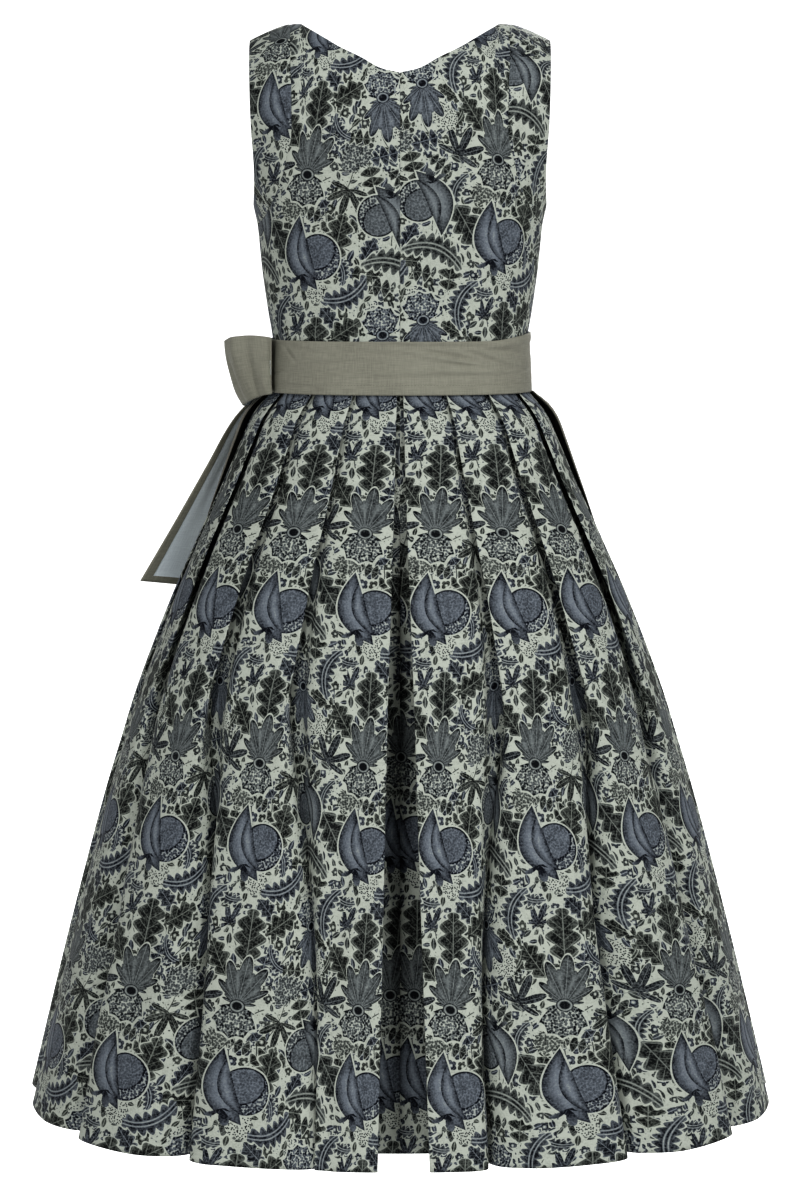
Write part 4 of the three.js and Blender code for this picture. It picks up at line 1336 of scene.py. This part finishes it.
# The top edge rides up towards the wearer's right: over run from x on, above foot within fade, none of
# it in front of y and all of it from depth_run behind that.
RISE = {"x": 92, "run": 50, "height": 7.5, "power": 1.6, "foot": 352, "fade": 13, "y": 80, "depth_run": 70}
# The share of the folds' height that the sash keeps over the front.
FRONT_SHARE = 0.7


def outward_of(x, y, half_width, half_depth):
    return unit(np.stack([x / half_width**2, y / half_depth**2], axis=-1))


def sash_point(angle, drop, over=0.0):
    """A point of the sash's outer side, by its angle in degrees from the centre back over the left."""
    half_width, half_depth = read(SASH, "half_width", drop), read(SASH, "half_depth", drop)
    x, y = around(-np.radians(angle), half_width, half_depth)
    outward = outward_of(x, y, half_width, half_depth)
    past = x - OVERLAP["x"]
    edge = OVERLAP["drop"] + OVERLAP["slant"] * past
    layer = np.clip(past / OVERLAP["run"], 0, 1) / (1 + np.exp((drop - edge) / OVERLAP["soft"]))
    lift = SASH_LIFT + over + (soft_creases(SASH_CREASES, x, -drop) + OVERLAP["height"] * layer) * (y < 0)
    lift = lift + soft_creases(SASH_CREASES, -x, -drop) * (y > 0) * FRONT_SHARE
    lift = lift - SASH_SEAM["depth"] * np.exp(-(((drop - SASH_SEAM["drop"]) / SASH_SEAM["reach"]) ** 2))
    rise = RISE["height"] * np.clip((x - RISE["x"]) / RISE["run"], 0, 1) ** RISE["power"]
    rise = rise * np.clip((RISE["foot"] - drop) / RISE["fade"], 0, 1)
    rise = rise * np.clip((RISE["y"] - y) / RISE["depth_run"], 0, 1)
    return np.stack([x + outward[..., 0] * lift, y + outward[..., 1] * lift, rise - drop], axis=-1)


def sash_band():
    """The sash wound round the waist, from the knot round to the knot."""
    drop = steps_between(SASH[-1]["drop"] - SASH[0]["drop"], SASH_ROW) + SASH[0]["drop"]
    angle = np.linspace(SASH_START, SASH_END, SASH_COLUMNS)
    points = sash_point(*np.broadcast_arrays(angle[None], drop[:, None]))
    piece = sheet_mesh("sash_band_cloth", points, thickness=SASH_WALL)
    seam = sash_point(angle, np.full_like(angle, SASH_SEAM["drop"]), over=STITCH["lift"])
    row = stitches("sash_stitches", seam, seam * (1, 1, 0))
    return dress(piece, sash_cloth, "sash_cloth", "sash_band")


def beside_sash(angle, out, drop):
    """A point outside the sash at the wearer's left, by its angle from the centre back."""
    half_width, half_depth = SASH[1]["half_width"], SASH[1]["half_depth"]
    x, y = around(-np.radians(angle), half_width + SASH_WALL / 2, half_depth + SASH_WALL / 2)
    outward = outward_of(x, y, half_width, half_depth)
    return np.stack([x + outward[..., 0] * out, y + outward[..., 1] * out, -drop + 0 * x], axis=-1)


def sash_sheet(name, points):
    """A sheet of the bow, whose inner side shows the sash's paler reverse, its colour painted lighter still
    to stand in for light on the shaded hanging ends.
    """
    piece = sheet_mesh(f"{name}_cloth", points, thickness=BOW_WALL)
    dress(piece, sash_cloth, "sash_cloth", name)
    piece.data.materials.append(reverse_painted_lighter)
    piece.modifiers["thickness"].material_offset = 1
    return piece


LOOP_ROWS = 31
LOOP_COLUMNS = 91
# Troughs and ridges of a loop, by the share of its way round and of its height.
LOOP_CREASES = rows(
    "x y long wide slant push",
    (0.16, 0.5, 0.035, 0.5, 0, -5),
    (0.25, 0.85, 0.03, 0.3, 0, 3),
    (0.34, 0.6, 0.03, 0.4, 0, -4),
    (0.42, 0.2, 0.028, 0.4, 0, 3),
    (0.49, 0.6, 0.022, 0.5, 0, -4),
    (0.56, 0.8, 0.02, 0.3, 0, 2.5),
    (0.62, 0.4, 0.02, 0.5, 0, -3),
)


def bow_loop(name, direction):
    """A loop from the knot out, round its tip and back, towards the back or the front."""
    angle, tip_out, top, bottom, lean = columns_of(LOOP, "angle", "out", "top", "bottom", "lean")
    shares, heights = np.linspace(0, 1, LOOP_COLUMNS), np.linspace(0, 1, LOOP_ROWS)
    strips = []
    for height in heights:
        out, drop = tip_out - lean * height**2, mix(top, bottom, height)
        points = beside_sash(KNOT["angle"] + direction * angle, out, drop)
        keys = distances(np.sqrt(lengths(np.diff(points, axis=0))))
        strips.append(np.stack([curve(keys / keys[-1], points[:, i], shares) for i in range(3)], axis=-1))
    points = np.array(strips)
    outward = unit(np.cross(np.gradient(points, axis=1), (0, 0, 1)) * direction)
    creases = soft_creases(LOOP_CREASES, shares[None], heights[:, None])
    piece = sash_sheet(name, points - outward * creases[..., None])
    return piece


KNOT_BULGE = 0.6
# Folds of the knot's wrap, across and down from -1 to 1, and their height in millimetres.
KNOT_CREASES = rows(
    "x y long wide slant push",
    (-0.62, 0.1, 0.8, 0.13, 82, -1.7),
    (-0.12, -0.1, 0.9, 0.14, 93, -2),
    (0.42, 0, 0.8, 0.12, 99, -1.6),
    (0.16, 0.3, 0.5, 0.1, 84, 1),
)


def bow_knot():
    """The wrap round the middle of the bow, bulged out of a ball and folded."""
    bm = bmesh.new()
    bmesh.ops.create_uvsphere(bm, u_segments=40, v_segments=28, radius=1)
    piece = new_piece("bow_knot_cloth", bm)
    ball = places_in(piece.data)
    bulged = np.sign(ball) * np.abs(ball) ** KNOT_BULGE
    across, out, up = bulged.T
    angle = np.array(KNOT["angle"])
    centre = beside_sash(angle, KNOT["thickness"] / 2 + KNOT["out"], KNOT["drop"])
    outward = beside_sash(angle, 1, 0) - beside_sash(angle, 0, 0)
    sideways = np.array([-outward[1], outward[0], 0])
    points = centre + np.outer(across * KNOT["width"] / 2, sideways)
    points += np.outer(out * KNOT["thickness"] / 2, outward)
    points[:, 2] += up * KNOT["height"] / 2
    points += np.outer(soft_creases(KNOT_CREASES, across, up) * (out > 0), outward)
    piece.data.vertices.foreach_set("co", (points * MM).ravel())
    index = corners(piece.data)
    flat = (across[index] * KNOT["width"] / 2, up[index] * KNOT["height"] / 2, 0 * index)
    set_vectors(piece.data, "cloth", np.stack(flat, axis=1) * MM)
    return dress(piece, sash_cloth, "sash_cloth", "bow_knot")


# A hanging end's side hem takes HEM_SHARE of its width and its end hem HEM_DROP of its length. Rows
# and columns stand close beside both folds, and the hem lies HEM_TURN higher.
HEM_SHARE = 0.15
HEM_DROP = 10
HEM_TURN = 0.9
HEM_FOLD = {"across": 0.006, "down": 0.5}
TAIL_ROW = 3.4
TAIL_COLUMNS = 29
TAIL_WAVE = {"height": 1.6, "across": 5, "down": 4}
TAIL_CREASES = rows(
    "x y long wide slant push",
    (0.5, 0.05, 0.08, 0.5, 10, -2),
    (0.62, 0.3, 0.07, 0.4, 8, 1.2),
)


def faces_within(mesh, inside):
    """For each face, whether all its corners are inside, as given for the sheet's grid."""
    row, column = grid_places[mesh.name]
    index = corners(mesh).reshape(-1, 4)
    return inside[row[index], column[index]].all(axis=1)


def bow_tail(name, table, turned, opened, slanted):
    """A hanging end of the sash, its turned hem on the side that lies to the skirt."""
    length = table[-1]["drop"] - table[0]["drop"]
    step = steps_between(length, TAIL_ROW, edge=(HEM_DROP - HEM_FOLD["down"], HEM_DROP + HEM_FOLD["down"]))
    drop = (step + table[0]["drop"])[:, None]
    even = np.linspace(0, 1, TAIL_COLUMNS).round(4)
    beside_fold = HEM_SHARE - HEM_FOLD["across"], HEM_SHARE + HEM_FOLD["across"]
    share = np.array(sorted({*even, *beside_fold}))[None]
    way = np.clip(step / length, 0, 1)[:, None]
    outer, inner = (
        np.stack([read(table, f"{edge}_x", drop), read(table, f"{edge}_y", drop)], axis=-1)
        + np.array(shift) * np.sqrt(way)[..., None]
        for edge, shift in (("outer", opened), ("inner", turned))
    )
    flat = mix(outer, inner, share[..., None])
    points = np.concatenate([flat, (-drop - slanted * share * way**3)[..., None]], axis=-1)
    across = inner - outer
    normal = unit(np.concatenate([across[..., 1:], -across[..., :1], 0 * across[..., :1]], axis=-1))
    in_hem = (share < HEM_SHARE) | (way * length > length - HEM_DROP)
    wave = TAIL_WAVE["height"] * np.sin(share * TAIL_WAVE["across"] + way * TAIL_WAVE["down"]) * way
    wave = wave + soft_creases(TAIL_CREASES, share, way)
    points = points + normal * (HEM_TURN * in_hem + wave)[..., None]
    piece = sash_sheet(name, points)
    # The turned hem shows the cloth's right side on both its faces.
    for cloth in (sash_cloth, sash_cloth):
        piece.data.materials.append(cloth)
    hemmed = faces_within(piece.data, in_hem)
    piece.data.polygons.foreach_set("material_index", hemmed.astype(np.int32) * 2)
    beside = int(np.searchsorted(share[0], HEM_SHARE)) - STITCH["inset"]
    above_end = slice(-STITCH["inset"])
    path = points - normal * (BOW_WALL + STITCH["lift"])
    outward = np.broadcast_to(-normal, points.shape)
    row = stitches(f"{name}_stitches", path[above_end, beside], outward[above_end, beside])
    return piece


sash_band()
bow_knot()
bow_loop("bow_loop_back", -1)
bow_loop("bow_loop_front", 1)
bow_tail("tail_back", BACK_TAIL, (31, 8), (-3, 40), 13)
bow_tail("tail_front", FRONT_TAIL, (0, 0), (0, 0), 10)


# ---- Apron ----

APRON_COLUMNS = 241
APRON_ROW = 7
APRON_WALL = 0.8
# Fine gathers under the sash, which run out over the first run of the apron's length.
GATHERS = {"count": 47, "uneven": 1.5, "uneven_turns": 37, "run": 110, "power": 1.5, "height": 1.1}
APRON_HEM = 30
APRON_SIDE_HEM = 0.012
APRON_HEM_TURN = 0.5
# The creases start below the gathers and keep this share of their height.
CREASES_TOP = 450
CREASES_RUN = 100
CREASES_SHARE = 0.6
# Troughs and ridges of the apron: share of its width, drop, half width, half length, slant, height.
APRON_CREASES = rows(
    "x y long wide slant push",
    (0.12, -640, 0.016, 150, 0, -4),
    (0.23, -860, 0.02, 170, 0, 4),
    (0.36, -560, 0.014, 110, 0, -3),
    (0.44, -930, 0.018, 130, 0, -5),
    (0.57, -720, 0.016, 180, 0, 4),
    (0.69, -600, 0.014, 120, 0, -4),
    (0.78, -960, 0.018, 120, 0, 4),
    (0.9, -780, 0.016, 160, 0, -4),
)


def apron():
    """The apron, gathered under the sash and falling in flutes over the front of the skirt."""
    top, foot = APRON[0]["drop"], APRON[-1]["drop"]
    drop = (steps_between(foot - top, APRON_ROW, edge=(4,)) + top)[:, None]
    share = np.linspace(0, 1, APRON_COLUMNS)[None]
    half_width = read(SKIRT, "half_width", drop)
    half_depth = half_width * read(SKIRT, "depth_ratio", drop)
    # The flutes are unevenly spaced and lean a little as they fall.
    lean = 0.8 * np.sin(share * 9.1 + 1) + 0.5 * np.sin(drop / 170 + share * 14)
    wave = (1 - np.cos(share * APRON_FLUTES * 2 * math.pi + lean * np.sin(share * math.pi))) / 2
    gathered = np.clip(1 - (drop - top) / GATHERS["run"], 0, 1) ** GATHERS["power"]
    uneven = GATHERS["uneven"] * np.sin(share * GATHERS["uneven_turns"])
    gathers = np.sin(share * GATHERS["count"] * 2 * math.pi + uneven) * gathered
    hem = (drop > foot - APRON_HEM) | (abs(share - 0.5) > 0.5 - APRON_SIDE_HEM)
    out = read(APRON, "out", drop) + read(APRON, "flute", drop) * wave
    out = out + GATHERS["height"] * (gathers + gathered) + APRON_HEM_TURN * hem
    creased = np.clip((drop - CREASES_TOP) / CREASES_RUN, 0, CREASES_SHARE)
    out = out + soft_creases(APRON_CREASES, share, -drop) * creased
    edge = np.radians(read(APRON, "edge", drop))
    x, y = around(math.pi + mix(-edge, edge, share), half_width + out, half_depth + out)
    points = np.stack([x, y, np.broadcast_to(-drop, x.shape)], axis=-1)
    piece = sheet_mesh("apron_cloth", points, thickness=APRON_WALL)
    seam = points[int(np.searchsorted(drop[:, 0], foot - APRON_HEM)) + 1]
    row = stitches("apron_stitches", seam, seam * (1, 1, 0))
    return dress(piece, apron_cloth, "apron_cloth", "apron")


apron()


# ---- Studio ----

FLOOR_DROP = 1.42
AIM = Vector((0, 0, -0.6))
# Each lamp's place and size in metres and its power in watts. The low lamp reaches the hanging
# ends' reverse, and the far one the dress's front.
LAMPS = rows(
    "name place size power",
    ("left", (-4.2, -1.8, 1.2), 1.6, 6),
    ("right", (4.2, -1.8, 1.2), 1.6, 30),
    ("key", (2.1, -3.8, 2.4), 1.0, 80),
    ("low front", (-1.5, -4.0, 0.1), 1.0, 44),
    ("far side", (0.9, 4.3, 1.7), 1.4, 70),
)


def stage_piece(name, bm, material_name, shader, facts, unseen):
    """A piece of the studio in one plain material, unseen by the light's kinds that are named."""
    piece = new_piece(name, bm)
    material, tree = new_material(material_name)
    node(tree, "ShaderNodeOutputMaterial", (node(tree, shader, facts),))
    piece.data.materials.append(material)
    for kind in unseen:
        setattr(piece, f"visible_{kind}", False)


def floor_and_backdrop():
    """Matt white paint that glows a little, so that it stays plain, in a lit white tent."""
    white = srgb("#ffffff")
    bm = bmesh.new()
    bmesh.ops.create_grid(
        bm, x_segments=1, y_segments=1, size=30, matrix=Matrix.Translation((0, 0, -FLOOR_DROP))
    )
    paint = {"Base Color": white, "Roughness": 0.9, "Emission Color": white, "Emission Strength": 0.7}
    stage_piece(
        "floor", bm, "matt white paint", "ShaderNodeBsdfPrincipled", paint, ("diffuse", "shadow")
    )
    bm = bmesh.new()
    bmesh.ops.create_uvsphere(bm, u_segments=48, v_segments=24, radius=25)
    bmesh.ops.reverse_faces(bm, faces=bm.faces)
    lit = {"Color": white, "Strength": 1.0}
    unseen = ("diffuse", "glossy", "shadow")
    stage_piece("backdrop", bm, "lit white fabric", "ShaderNodeEmission", lit, unseen)


def light_studio():
    """A dim white world, and disks of light turned to the dress."""
    world = bpy.data.worlds.new("studio")
    world.use_nodes = True
    back = world.node_tree.nodes["Background"]
    back.inputs["Color"].default_value = srgb("#ffffff")
    back.inputs["Strength"].default_value = 0.32
    bpy.context.scene.world = world
    for row in LAMPS:
        light = bpy.data.lights.new(row["name"], "AREA")
        light.shape, light.size, light.energy = "DISK", row["size"], row["power"]
        lamp = bpy.data.objects.new(row["name"], light)
        bpy.context.collection.objects.link(lamp)
        lamp.location = row["place"]
        lamp.visible_camera = False
        lamp.rotation_euler = (AIM - lamp.location).to_track_quat("-Z", "Y").to_euler()


floor_and_backdrop()
light_studio()
view = bpy.context.scene.view_settings
view.view_transform = "Standard"
view.look = "High Contrast"
